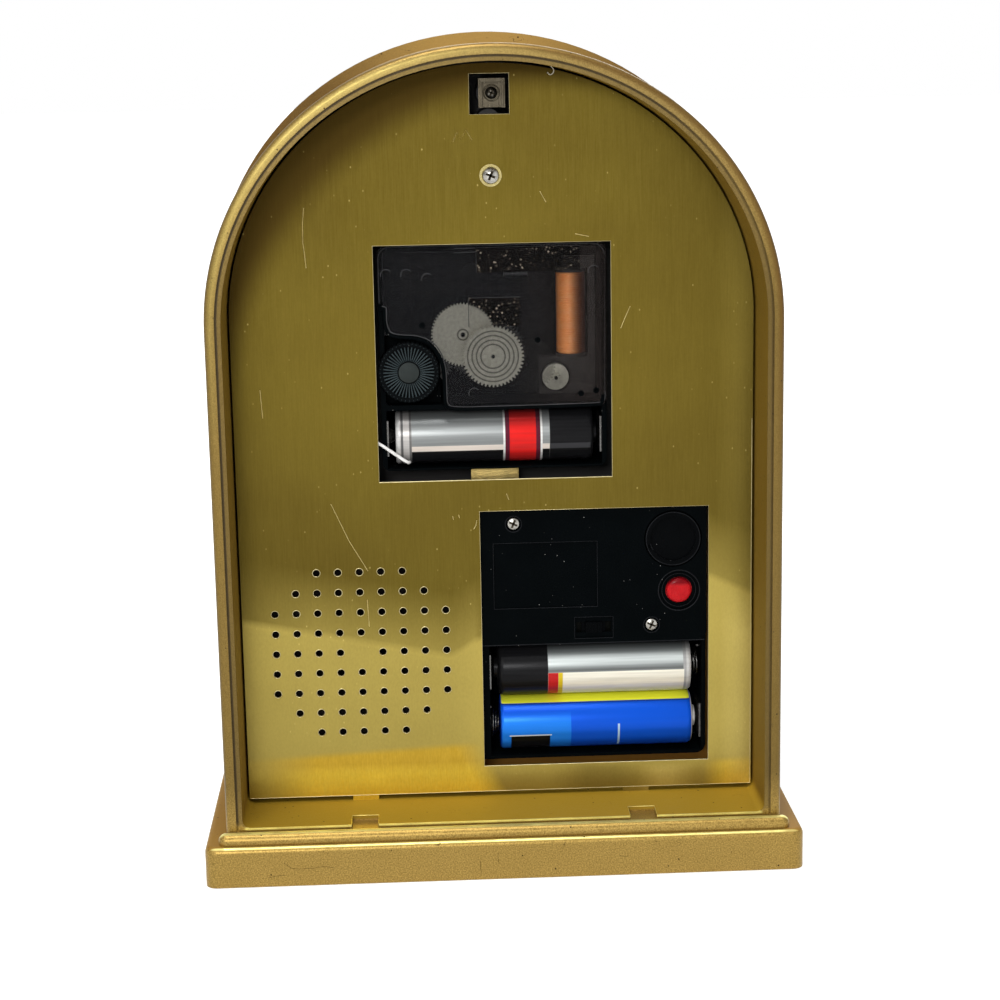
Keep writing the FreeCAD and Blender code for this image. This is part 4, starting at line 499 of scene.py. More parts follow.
def brushed_brass(name, colour):
    """Vertically brushed brass sheet with the case's shade, the light from below and scuffs."""
    f = Finish(name, colour, 0.92, Anisotropic=0.4)
    x, z = f.x, f.z
    dark, light = f.own(0.58, 0.5, 0.12), f.own(1.83, 1.94, 3.5)
    streak = f.noise(0.22, stretch=(1, 1, 0.03), detail=3, roughness=0.6)
    f.over(f.noise(34, 0.35, 0.7, detail=1), f.own(1.08, 1.1, 1.2))
    # Painted shade from the case over the plate's rim and upper part, and painted light near its right wall.
    out = f.reach(18, 110)
    rim = f.all_of(f.span(out, 79.3, 88.5, soft=True), f.span(z, 84, 118))
    f.over(rim, dark)
    f.over(f.span(out, 50, 82, 0.0, 0.25), dark)
    f.over(f.span(z, 90, 122, 0.24, 0.0), f.span(z, 50, 92, 0.3, 1.0), dark)
    f.over(f.span(x, 30, 44, 0.0, 0.12), f.fall(x, 54, 60), dark)
    f.over(f.span(x, 55, 62, 0.0, 0.17), f.span(z, 60, 80), light)
    f.over(f.span(z, 62, 95, 0.14, 0.0), dark)
    # The light's upper edge, from the left and from the right of the module
    edge_left = f.total(f.calc("MULTIPLY_ADD", x, -0.198, 49.1), f.span(x, -13, -4, 0.0, 5.6, soft=True))
    edge_right = f.calc("MINIMUM", f.calc("MULTIPLY_ADD", x, -0.46, 95.2), 86.0)
    edge = f.total(edge_left, f.all_of(f.less(edge_right, edge_left), f.span(x, -4.6, 8)))
    below = f.less(edge, z)
    beside = f.any_of(f.fall(x, -6, -2), f.span(x, 50, 54))
    f.over(f.span(below, -16, 0, 0.0, 0.52), f.span(x, -62, -46, 0.45, 1.0), beside, light)
    f.over(f.span(below, -0.6, 1.4), light)
    # The gold case floor's reflection, painted along the plate's foot
    heel = f.less(z, f.all_of(x, 0.047))
    slant = f.calc("MULTIPLY_ADD", f.less(z, 28.0), 0.5, x)
    foot = f.any_of(f.all_of(f.fall(heel, 26.6, 28.8, True), f.fall(slant, -12, -5), f.span(x, -60, -47, 0.24, 0.96)),
                    f.all_of(f.fall(heel, 17.2, 19.6, True), f.span(x, 52, 58, 0.0, 0.75)))
    weave = f.noise(0.3, stretch=(1, 1, 0.12), detail=3)
    f.over(foot, f.mix(f.span(z, 17, 23), f.mix(weave, tint(250, 212, 68), tint(255, 224, 82)),
                       f.mix(weave, tint(180, 144, 38), tint(194, 158, 50))))
    f.over(f.span(below, 0, 2), f.fall(x, -12, -4), 0.13, dark)
    f.over(streak, f.span(rim, 0, 1, 1.0, 0.2), 0.07, light)
    # Painted light near the right wall and on the foot, with painted shade on the foot between them.
    f.over(f.span(x, 56, 62), f.span(below, 0, 12), 0.29, PAINTED_GLEAM)
    f.over(f.band(x, 17, 34, 5), f.fall(z, 20, 23), 0.3, dark)
    f.over(f.band(x, 38, 47, 3), f.fall(z, 19, 21), 0.3, PAINTED_GLEAM)
    f.over(f.noise(12), 0.07, dark)
    f.over(f.noise(0.45, stretch=(1, 1, 0.5), detail=3), 0.1, dark)
    nicks = f.all_of(f.dots(2.2, 0.03, 0.11, (1, 1, 0.7)), f.noise(9, 0.45, 0.6), 0.24)
    f.over(nicks, tint(236, 214, 130))
    return f.done(f.total(f.span(streak, 0, 1, 0.3, 0.36), f.all_of(nicks, 0.2)), (streak, 0.003),
                  (f.noise(26, 0.2, 0.8, detail=1), 0.2, 0.4))


def plain_metal(name, colour, roughness=0.3, grain=0.3, stretch=(1, 1, 1), depth=0.01):
    """Bare metal with fine working marks and slight tarnish."""
    f = Finish(name, colour, 1.0)
    marks = f.noise(grain, stretch=stretch, detail=3)
    f.over(f.noise(grain * 8, 0.35), 0.4, f.own(0.66, 0.62, 0.55))
    return f.done(f.span(marks, 0, 1, roughness - 0.07, roughness + 0.1), (marks, depth))


def panel_sheet(name):
    """Gold lacquered front sheet whose rear is painted as shade: brown low down and nearly black higher up."""
    f = Finish(name, (190, 152, 70))
    marks = f.noise(0.4, stretch=(0.05, 1, 1), detail=3)
    rear = f.fall(f.y, 8.0, 8.3)
    # Painted shade on the rear: brown below the module, nearly black higher up.
    dull = f.mix(f.span(f.z, 30, 88), tint(150, 104, 24), tint(12, 8, 6))
    f.tone = f.mix(rear, f.mix(marks, tint(196, 158, 76), tint(172, 136, 60)), dull)
    f.set(f.shader, "Metallic", f.span(rear, 0, 1, 1.0, 0.2))
    return f.done(f.total(f.span(marks, 0, 1, 0.28, 0.4), f.all_of(rear, 0.25)), (marks, 0.01))


def moulded_black(name, colour, roughness=0.42, grain=0.35, depth=0.02):
    """Moulded plastic with a fine grain, faint handling marks and a few dust specks."""
    f = Finish(name, colour, Specular_IOR_Level=0.01)
    fine = f.noise(grain, 0.25, 0.75, detail=3)
    f.over(f.noise(6), 0.5, tint(*(part * 1.4 + 1 for part in colour)))
    f.over(f.dots(1.7, 0.05, 0.075), f.noise(8, 0.5, 0.6), 0.75, tint(150, 150, 146))
    return f.done(f.span(fine, 0, 1, roughness - 0.08, roughness + 0.12), (fine, depth))


def smoky_clear(name):
    """Tinted clear plastic with a moulded grain, dark label field and square field with sparkles."""
    f = Finish(name, (40, 37, 41), Specular_IOR_Level=0.07)
    grain = f.noise(0.55, 0.34, 0.66, roughness=0.7)
    square = f.patch(*COVER_SQUARE)
    behind = f.all_of(square, f.span(f.reach(-7.2, 131.7), 7.8, 8.1), f.span(f.reach(*DIAL), 7.6, 7.9))
    field = f.any_of(f.patch(*COVER_LABEL), behind)
    f.tone = f.mix(grain, tint(4, 4, 5), f.mix(f.span(f.x, 4, 24), tint(41, 41, 43), tint(62, 55, 52)))
    f.over(square, 0.35, tint(16, 13, 12))
    f.over(field, tint(7, 5, 4))
    sparkle = f.dots(0.95, 0.2, 0.3)
    f.over(field, sparkle, f.noise(2.2, 0.44, 0.6), 0.8, tint(170, 156, 140))
    # Painted light: the cover is clearer over the coil's left part, so the copper shows brighter there.
    shown = f.less(0.34, f.all_of(f.patch((14.5, 124), (20.5, 149), 2.5), 0.16))
    f.set(f.shader, "Alpha", f.total(shown, f.all_of(field, 0.26)))
    return f.done(f.span(grain, 0, 1, 0.4, 0.55), (grain, 0.004))


def geared_plastic(name, node, colour, dark_radius=0.0, grooves=(), clear_share=0.0):
    """Moulded wheel with turned grooves about its own middle, the grooves painted darker as shade."""
    x, _, z = middle_of(node)
    f = Finish(name, colour, Alpha=1.0 - clear_share)
    far = f.reach(x, z)
    waves = f.noise(0.8)
    f.tone = f.mix(waves, f.own(0.92, 0.92, 0.9), f.own(1.04, 1.04, 1.02))
    if dark_radius:
        f.over(f.fall(far, dark_radius - 0.12, dark_radius + 0.12), tint(22, 20, 22))
    bumps = [(f.noise(0.4, 0.2, 0.8), 0.01)]
    # Painted shade in the turned grooves.
    for groove in grooves:
        hollow = f.band(far, groove - 0.16, groove + 0.16)
        f.over(hollow, 0.72, tint(46, 42, 42))
        bumps.append((hollow, -0.12))
    return f.done(f.span(waves, 0, 1, 0.3, 0.45), *bumps)


def wound_copper(name, colour):
    """Enamelled copper wire, painted darker towards the right as shade, so the coil looks lit on its left."""
    f = Finish(name, colour, 0.15)
    wear = f.noise(0.7, stretch=(1, 1, 4))
    f.tone = f.mix(wear, f.own(1, 1.06, 1.1), f.own(0.97, 0.88, 0.8))
    # Painted shade: the coil's right side darker.
    f.over(f.span(f.x, 18.6, 22.6, soft=True), tint(120, 66, 38))
    return f.done(f.span(wear, 0, 1, 0.26, 0.4), (f.noise(0.3, 0.35, 0.65), 0.01))


def sleeve(name, node, layout, top_shade, drawn):
    """Printed cell sleeve: its main colour, then bands along its length and stripes along its side; some bands are
    painted highlight and shade, and the top and bottom of the cell are painted darker as shade.
    A band is (from, to, lowest, highest, colour), along X from the left end and in Z from the middle."""
    main, *bands = layout
    f = Finish(name, main, 0.2, Specular_IOR_Level=0.07, Coat_Weight=0.02, Coat_Roughness=0.12)
    along = f.less(f.x, span_of(node)[0].x)
    up = f.less(f.z, middle_of(node)[2])
    for start, end, low, high, colour, *soft in bands:
        share = f.band(along, start, end, 0.06)
        if low > -CELL or high < CELL:
            share = f.all_of(share, f.band(up, low, high, *(soft or [0.06])))
        f.over(share, tint(*colour))
    # Painted shade: the cell darkened towards its top and towards its bottom.
    start, share = top_shade
    f.over(f.span(up, start, CELL * 0.9, soft=True), share, tint(20, 20, 22))
    f.over(f.fall(up, -CELL * 0.7, -3.2, True), 0.3, tint(26, 26, 28))
    f.over(f.noise(0.6, 0.2, 0.8, stretch=(0.03, 1, 1), detail=3), drawn, tint(40, 40, 42))
    f.over(f.noise(14, 0.0, 1.0, detail=0), 0.06, tint(60, 60, 62))
    return f.done(f.span(f.noise(20, 0.0, 1.0, detail=0), 0, 1, 0.28, 0.34),
                  (f.noise(0.5, 0.1, 0.9, stretch=(0.1, 1, 1)), 0.004))


def circuit_board(name, colour):
    """Fibre board with faint tracks."""
    f = Finish(name, colour, Specular_IOR_Level=0.03)
    bricks = f.add("ShaderNodeTexBrick", {"Vector": f.stretched(scale=(0.25, 0.25, 0.25)), "Scale": 1.0,
                                          "Mortar Size": 0.06})
    tracks = f.span(bricks.outputs["Fac"], 0.4, 0.6)
    f.over(tracks, f.own(1.5, 1.4, 1.3))
    return f.done(f.span(f.noise(0.6, 0.35, 0.65), 0, 1, 0.38, 0.52), (tracks, 0.03))


def soft_sleeve(name, colour):
    """Vinyl lead sleeve, slightly soiled."""
    f = Finish(name, colour)
    soil = f.noise(2.5, 0.4)
    f.over(soil, 0.35, f.own(0.72, 0.7, 0.66))
    return f.done(f.span(soil, 0, 1, 0.32, 0.46), (f.noise(0.5, 0.35, 0.65), 0.012))


def paper_cone(name):
    """Pressed fibre."""
    f = Finish(name, (9, 8, 8), Specular_IOR_Level=0.05)
    fibre = f.noise(0.5, stretch=(1, 1, 0.4), detail=4)
    f.over(fibre, tint(24, 21, 19))
    return f.done(f.span(fibre, 0, 1, 0.8, 0.92), (fibre, 0.05))


def clear_lens(name):
    """Clear lens with a trace of haze."""
    f = Finish(name, (150, 156, 158), Alpha=0.06, IOR=1.5)
    return f.done(f.span(f.noise(12, 0.4), 0, 1, 0.03, 0.07), (f.noise(30, 0.35, 0.65), 0.02))


def dial_paper(name):
    """Cream dial with a faint grain and two gold rings."""
    f = Finish(name, (242, 236, 218))
    grain = f.noise(0.5, detail=3)
    f.over(grain, 0.4, tint(228, 220, 198))
    far = f.reach(*DIAL)
    for inner, outer in ((28.6, 29.0), (46.6, 46.9)):
        f.over(f.band(far, inner, outer, 0.05), tint(176, 138, 66))
    return f.done(f.span(grain, 0, 1, 0.5, 0.62), (grain, 0.01))


def glossy_red(name):
    """Moulded red button, slightly soiled, its top painted darker as shade."""
    f = Finish(name, (186, 24, 30), Specular_IOR_Level=0.08)
    soil = f.noise(1.4, 0.4)
    f.over(soil, 0.4, tint(150, 14, 22))
    # Painted shade: the button's top darker.
    f.over(f.span(f.z, 67.0, 68.2, 0.0, 0.85, soft=True), tint(96, 2, 12))
    return f.done(f.span(soil, 0, 1, 0.22, 0.4), (f.noise(0.5, 0.35, 0.65), 0.01))


# What a user would change

def length(name, text, size):
    """A length property, its default in millimetres."""
    return FloatProperty(name=name, description=text, default=size * MM, min=0.0, max=1.0, subtype="DISTANCE",
                         unit="LENGTH", precision=4)


def paint(name, text, red, green, blue):
    """A colour property from screen values."""
    return FloatVectorProperty(name=name, description=text, default=(red / 255, green / 255, blue / 255), min=0.0,
                               max=1.0, size=3, subtype="COLOR_GAMMA")


def power(name, text, watts):
    """The strength of a lamp."""
    return FloatProperty(name=name, description=text, default=watts, min=0.0, unit="POWER")


def screen(colour):
    """A colour property as screen values from 0 to 255."""
    return [part * 255 for part in colour]


class ClockSettings(bpy.types.PropertyGroup):
    """Sizes and colours of the clock."""

    gold: paint("Gold paint", "Colour of the sprayed case", 146, 120, 62)
    brass: paint("Brass sheet", "Colour of the brushed back plate", 87, 73, 20)
    copper: paint("Copper", "Colour of the motor coil", 252, 168, 98)
    moulding: paint("Moulding", "Colour of the module and movement cases", 3, 5, 6)
    wheels: paint("Wheels", "Colour of the moulded wheels", 224, 220, 206)
    # The hole rims and cut edges are drawn as painted highlights.
    hole_rim: length("Hole rim", "Thickness of the light rim round each sound hole", 0.11)
    cut_edge: length("Cut edge", "Thickness of the bright edge of the plate", 0.12)
    scratch: length("Scratch", "Thickness of a scratch in the plate", 0.07)
    coil_turns: IntProperty(name="Coil turns", description="Turns of wire in the outer layer of the coil", default=44,
                            min=20, max=46)
    spring_turns: IntProperty(name="Spring turns", description="Turns of each battery spring", default=3, min=2, max=4)
    numeral: length("Numeral", "Height of the dial numbers", 9.5)
    key_light: power("Key light", "Strength of the main lamp", 2.4)
    top_light: power("Top light", "Strength of the lamp overhead", 7.6)
    fill_light: power("Fill light", "Strength of the lamp on the right", 0.8)
    back_light: power("Back light", "Strength of the lamp that lights the dial", 6.5)
    front_light: power("Front light", "Strength of the lamp beside the camera", 8.0)


# The stage

# Focal length in millimetres, place in metres, and yaw, pitch and roll in radians
LENS = 77.58
CAMERA_PLACE = (-0.02134, -0.53705, 0.20174)
CAMERA_TURN = (0.0425, 0.2078, -0.0181)


def seen_directly(tree):
    """1 for rays that see the background itself, in the camera, a reflection or through glass."""
    rays = tree.nodes.new("ShaderNodeLightPath").outputs
    total = rays["Is Camera Ray"]
    for name in ("Is Glossy Ray", "Is Transmission Ray"):
        node = tree.nodes.new("ShaderNodeMath")
        node.operation = "MAXIMUM"
        tree.links.new(total, node.inputs[0])
        tree.links.new(rays[name], node.inputs[1])
        total = node.outputs[0]
    return total


def white_world():
    """White where it is seen, and a softer grey light on the object."""
    world = bpy.data.worlds.new("studio")
    bpy.context.scene.world = world
    world.use_nodes = True
    tree = world.node_tree
    tree.nodes.clear()
    mixed = tree.nodes.new("ShaderNodeMixShader")
    tree.links.new(seen_directly(tree), mixed.inputs[0])
    for slot, colour, strength in ((1, (0.96, 0.98, 1, 1), 0.32), (2, (1, 1, 1, 1), 1.0)):
        light = tree.nodes.new("ShaderNodeBackground")
        light.inputs["Color"].default_value = colour
        light.inputs["Strength"].default_value = strength
        tree.links.new(light.outputs[0], mixed.inputs[slot])
    tree.links.new(mixed.outputs[0], tree.nodes.new("ShaderNodeOutputWorld").inputs[0])


def white_floor():
    """A wide white floor that shows a faint shadow."""
    clear()
    bpy.ops.mesh.primitive_plane_add(size=14, location=(0, 0, -0.0002))
    floor = apply_place(active("floor"))
    f = Finish("floor_white", (231, 231, 231), Roughness=0.9)
    f.tone = f.mix(f.noise(40), (0.8, 0.8, 0.8, 1), (0.82, 0.82, 0.82, 1))
    f.set(f.shader, "Base Color", f.tone)
    far = f.length(f.x, f.y)
    glow = f.add("ShaderNodeEmission", {"Strength": f.all_of(seen_directly(f.tree), f.span(far, 150, 450, 0.55, 1.0))})
    both = f.add("ShaderNodeAddShader", {0: f.shader.outputs[0], 1: glow.outputs[0]})
    f.set(f.tree.nodes["Material Output"], "Surface", both.outputs[0])
    floor.data.materials.append(f.material)


def camera():
    """The camera at the height and turn of the picture."""
    data = bpy.data.cameras.new("camera")
    data.lens = LENS
    data.sensor_width = 36
    data.clip_start = 0.01
    yaw, pitch, roll = CAMERA_TURN
    ahead = Vector((math.sin(yaw) * math.cos(pitch), math.cos(yaw) * math.cos(pitch), -math.sin(pitch)))
    right = Vector((math.cos(yaw), -math.sin(yaw), 0))
    up = right.cross(ahead)
    across = right * math.cos(roll) + up * math.sin(roll)
    upright = up * math.cos(roll) - right * math.sin(roll)
    turn = Matrix((across, upright, -ahead)).transposed().to_4x4()
    item = bpy.context.scene.camera = add("camera", data)
    item.matrix_world = Matrix.Translation(CAMERA_PLACE) @ turn


def lamp(name, place, size, watts):
    """A soft square lamp pointed at the clock's middle."""
    data = bpy.data.lights.new(name, "AREA")
    data.shape = "SQUARE"
    data.size = size
    data.energy = watts
    item = add(name, data)
    item.location = place
    item.rotation_euler = (Vector((0, 0, 0.1)) - Vector(place)).to_track_quat("-Z", "Y").to_euler()


class CLOCK_OT_stage(bpy.types.Operator):
    """Floor, background, lamps and camera"""

    bl_idname = "clock.stage"
    bl_label = "Stage"

    def execute(self, context):
        choice = settings(context)
        context.scene.view_settings.view_transform = "Standard"
        white_world()
        white_floor()
        camera()
        lamp("key", (-0.7, -1.0, 0.75), 0.6, choice.key_light)
        lamp("overhead", (-0.1, -0.3, 1.1), 0.45, choice.top_light)
        lamp("fill", (0.9, -0.8, 0.35), 0.6, choice.fill_light)
        lamp("behind", (0.3, 1.2, 0.8), 0.8, choice.back_light)
        lamp("front", (-0.25, -1.3, 0.5), 0.3, choice.front_light)
        return {"FINISHED"}


# The case and the sheet metal

BASE_HAIRS = (
    ((-54.8, 6.1), (-53.4, 4.9), (-52.1, 4.3), (-46.9, 4.5), (-44.6, 4.9), (-42.3, 4.3)),
    ((-58.8, 2.3), (-56.5, 2.9), (-54.7, 2.8)),
    ((-6.4, 4.9), (-6.6, 3.9), (-6.2, 1.7)),
    ((-2.0, 6.9), (-2.2, 5.4), (-1.8, 3.9)),
    ((28.0, 5.2), (29.1, 4.6), (30.4, 4.9)),
)
NOTCH_MIDDLES = (-34.65, 34.65)
NOTCH_HALF = 3.35
HOLE_ROWS = (5, 7, 9, 9, 9, 9, 9, 7, 5)
HOLE_PITCH = (5.36, 5.2)
HOLE_MIDDLE = (-34.6, 52.6)
# Left, right, bottom and top of the plate's windows
TOP_WINDOW = (-4.75, 4.95, 185.65, 195.35)
MOVEMENT_WINDOW = (-28.95, 29.15, 96.1, 154.7)
MODULE_WINDOW = (-4.2, 53.3, 21.4, 88.1)
SCRATCHES = (
    ((-45.2, 164.2), (-45.6, 160.6), (-45.7, 156.2), (-45.1, 149.7)),
    ((-41.1, 91.0), (-36.9, 81.5), (-32.4, 73.6)),
    ((-8.8, 179.2), (-7.8, 181.6), (-6.85, 179.9), (-5.6, 182.0), (-4.2, 179.6)),
    ((12.0, 167.1), (13.45, 164.4)),
    ((33.8, 138.6), (32.5, 135.7), (31.5, 133.25)),
    ((-32.8, 66.2), (-32.5, 59.2)),
    ((-10.9, 87.1), (-10.7, 86.2)),
    ((-9.4, 87.4), (-9.2, 86.6)),
    ((-5.7, 83.6), (-5.1, 84.6), (-4.9, 85.9)),
    ((2.6, 92.4), (3.2, 90.9)),
    ((20.5, 156.6), (23.8, 155.9)),
    ((-57.5, 120.0), (-57.1, 113.0)),
)


def level(y, path):
    """Points in X and Z set at one depth."""
    return [(x, y, z) for x, z in path]


def frame_points(left, right, low, high, y):
    """Corners of an upright rectangle."""
    return level(y, ((left, low), (left, high), (right, high), (right, low)))


def two_sides(low, high):
    """Left and upper side of a rectangle in X and Z."""
    return low, (low[0], high[1]), high


def arc(middle, radius, start, end, steps=16):
    """Points of an arc in X and Z, in degrees."""
    turns = [math.radians(start + (end - start) * step / steps) for step in range(steps + 1)]
    return [(middle[0] + radius * math.cos(turn), middle[1] + radius * math.sin(turn)) for turn in turns]


def hole_places():
    """Middle of each sound hole; the field's own middle has none."""
    for row, count in enumerate(HOLE_ROWS):
        for column in range(count):
            if (row, column) != (4, 4):
                yield (HOLE_MIDDLE[0] + (column - (count - 1) / 2) * HOLE_PITCH[0], 0,
                       HOLE_MIDDLE[1] + (4 - row) * HOLE_PITCH[1])


def arch_points(half, rise, spring, bottom, steps=48):
    """Outline of an arch with straight sides in X and Z."""
    turns = [math.pi * (1 - step / steps) for step in range(1, steps)]
    return [(-half, bottom), (-half, spring), *((half * math.cos(turn), spring + rise * math.sin(turn))
                                                for turn in turns), (half, spring), (half, bottom)]


class CLOCK_OT_case(bpy.types.Operator):
    """Gold paint on the moulded case, hairlines on its base and painted highlights on the edges of its notches"""

    bl_idname = "clock.case"
    bl_label = "Case"

    def execute(self, context):
        dress(speckled_paint("gold_paint", screen(settings(context).gold)), "case_shell")
        rear = span_of("case_shell")[0].y
        wires("base_hairlines", [(level(rear + 0.01, path), 0.055) for path in BASE_HAIRS],
              moulded_black("hairline_dirt", (46, 32, 10)), "case_paint", smooth=True, around=0)
        rows = []
        for middle in NOTCH_MIDDLES:
            left, right = middle - NOTCH_HALF, middle + NOTCH_HALF
            rows.append(([(left, -29.3, 13.52), (left, -23.5, 13.52), (right, -23.5, 13.52), (right, -29.3, 13.52)],
                         0.12))
        # Pale wires along the notch edges as painted highlights.
        wires("notch_edges", rows, plain_metal("notch_edge_highlight", (222, 204, 122), 0.4, 0.4), "case_paint")
        return {"FINISHED"}


class CLOCK_OT_plate(bpy.types.Operator):
    """Brushed back plate with painted highlights on its hole rims and cut edges, and scratches"""

    bl_idname = "clock.plate"
    bl_label = "Back plate"

    def execute(self, context):
        choice = settings(context)
        dress(brushed_brass("brushed_brass", screen(choice.brass)), "back_plate")
        # Pale rings round the sound holes and pale wires along the cut edges are painted highlights.
        bright = plain_metal("edge_highlight_brass", (196, 184, 140), 0.4, 0.4)
        rear = span_of("back_plate")[0].y
        rim = choice.hole_rim / MM
        one = ring((0, rear + rim * 0.2, 0), 0.98, rim, 16, 4, "hole_rims")
        settle(copies(one, [Matrix.Translation(at(*place)) for place in hole_places()]), bright, "plate_brass")
        edge = choice.cut_edge / MM
        y = rear + edge * 0.4
        rows = [(frame_points(*MOVEMENT_WINDOW, y), edge * 0.65, True),
                (frame_points(*MODULE_WINDOW, y), edge * 0.65, True),
                (frame_points(*TOP_WINDOW, y), edge * 0.55, True),
                (level(y, ((-28.9, 96.1), (29.1, 96.1))), edge),
                (level(y, ((-4.2, 21.4), (53.3, 21.4))), edge),
                (level(y, ((-64.1, 14.7), (64.1, 14.7), (64.1, 110.0))), edge * 0.75)]
        wires("plate_edges", rows, bright, "plate_brass")
        scratch = choice.scratch / MM
        wires("plate_scratches", [(level(rear - scratch * 0.2, path), scratch) for path in SCRATCHES],
              plain_metal("scratched_brass", (252, 236, 172), 0.5), "plate_brass", around=0)
        curl = ((14.4, -0.3, 197.2), (15.6, -0.9, 196.4), (15.7, -1.0, 195.2), (14.7, -0.8, 194.5), (14.2, -0.5, 195.3))
        fibre = line("fibre", [(x, rear + out, z) for x, out, z in curl], 0.13, smooth=True)
        settle(fibre, soft_sleeve("dust_fibre", (214, 208, 190)), "lead_white")
        return {"FINISHED"}


def cross(middle, front, back, wide, across):
    """Two crossing bars about a middle in X and Z."""
    bars = []
    for degrees in (24, 114):
        bar = block("bar", (-wide, front, -across), (wide, back, across))
        bar.data.transform(Matrix.Rotation(math.radians(degrees), 4, "Y"))
        bar.data.transform(Matrix.Translation(at(middle[0], 0, middle[1])))
        bars.append(bar)
    return bars


def cross_screw(name, middle, seat, head, height, shank, long, wide, across):
    """A pan-head screw whose head is towards the back, and a dark piece in its cross recess as painted shade."""
    dome = [(head * 0.32, seat - height), (head * 0.55, seat - height * 0.92), (head * 0.88, seat - height * 0.6),
            (head, seat - height * 0.2), (head, seat), (shank, seat), (shank, seat + long - shank),
            (shank * 0.3, seat + long)]
    screw = turned(name, [(radius, -y) for radius, y in dome], (middle[0], 0, middle[1]))
    for tool in cross(middle, seat - height - 1, seat - height * 0.05, wide, across):
        cut(screw, tool)
    shade(screw, 30)
    return screw, joined(cross(middle, seat - height * 0.5, seat + 0.1, wide, across), name + "_recess")


class CLOCK_OT_screws(bpy.types.Operator):
    """Cross-head screws of the plate, bracket and module lid, with the washer"""

    bl_idname = "clock.screws"
    bl_label = "Screws"

    def execute(self, context):
        steel = plain_metal("bright_steel", (158, 156, 150), 0.26, 0.4)
        dull = plain_metal("dull_steel", (92, 89, 83), 0.3, 0.4)
        washer, bracket = span_of("plate_washer")[0].y, span_of("bracket_screw")[0].y
        front, back = span_of("lid_screws")
        screw, recess = cross_screw("plate_screw_detail", PLATE_SCREW, washer, 2.1, 1.5, 1.1, 8.0, 1.15, 0.3)
        settle(screw, steel, "screw_steel", ["plate_screw"])
        recesses = [recess]
        screw, recess = cross_screw("bracket_screw_detail", BRACKET_SCREW, bracket + 1.1, 1.5, 1.1, 1.1, 6.9, 0.85,
                                    0.24)
        settle(screw, dull, "screw_steel", ["bracket_screw"])
        recesses.append(recess)
        made = [cross_screw("lid_screw", middle, front.y + 0.7, 1.6, 0.7, 1.1, back.y - front.y - 0.7, 1.1, 0.26)
                for middle in LID_SCREWS]
        settle(joined([screw for screw, recess in made], "lid_screw_details"), steel, "screw_steel", ["lid_screws"])
        recesses += [recess for screw, recess in made]
        # The dark pieces in the cross recesses are painted shade.
        settle(joined(recesses, "screw_recesses"), moulded_black("recess_shade", (58, 52, 42), 0.5), "screw_steel")
        dress(plain_metal("washer_brass", (150, 138, 92), 0.32, 0.4), "plate_washer")
        return {"FINISHED"}


class CLOCK_OT_bracket(bpy.types.Operator):
    """Folded steel bracket seen through the top window"""

    bl_idname = "clock.bracket"
    bl_label = "Top bracket"

    def execute(self, context):
        steel = plain_metal("folded_steel", (80, 74, 62), 0.32, 0.35, (1, 1, 0.2), 0.02)
        dress(steel, "top_bracket")
        low, high = span_of("top_bracket")
        rows = [(level(low.y + 0.12, ((x, low.z + 0.3), (x, high.z - 0.3))), 0.16)
                for x in (low.x + 0.4, high.x - 0.4)]
        x, z = BRACKET_SCREW
        wires("bracket_edges", rows, steel, "bracket_steel", [ring((x, low.y + 1.7, z), 1.9, 0.14)])
        return {"FINISHED"}


# The movement

COVER_RINGS = ((-25.8, 147.4), (-20.9, 147.3), (-15.8, 146.2), (25.1, 147.3), (-4.8, 117.6))
COVER_STEP = ((-27.0, 139.8), (-25.9, 139.6), (-26.0, 138.4), (-26.0, 135.5), (-25.2, 133.3), (-23.4, 132.7),
              (-20.9, 132.5), (-18.6, 132.4), (-15.0, 131.0), (-12.7, 128.0), (-11.7, 124.6), (-11.6, 120.0),
              (-11.6, 117.0), (-11.5, 115.2), (-10.2, 114.3), (0.0, 114.3), (14.0, 114.4), (26.4, 114.5),
              (27.7, 115.0), (27.7, 117.2))
COVER_DOTS = ((-17.3, 134.85), (21.7, 117.0), (25.45, 117.7), (11.1, 130.6))
COVER_RIM = ((27.6, 117.0), (27.8, 151.2), *arc((24.6, 150.9), 3.2, 0, 90, 8), *arc((-24.7, 151.2), 3.0, 90, 180, 8),
             (-27.7, 140.6))


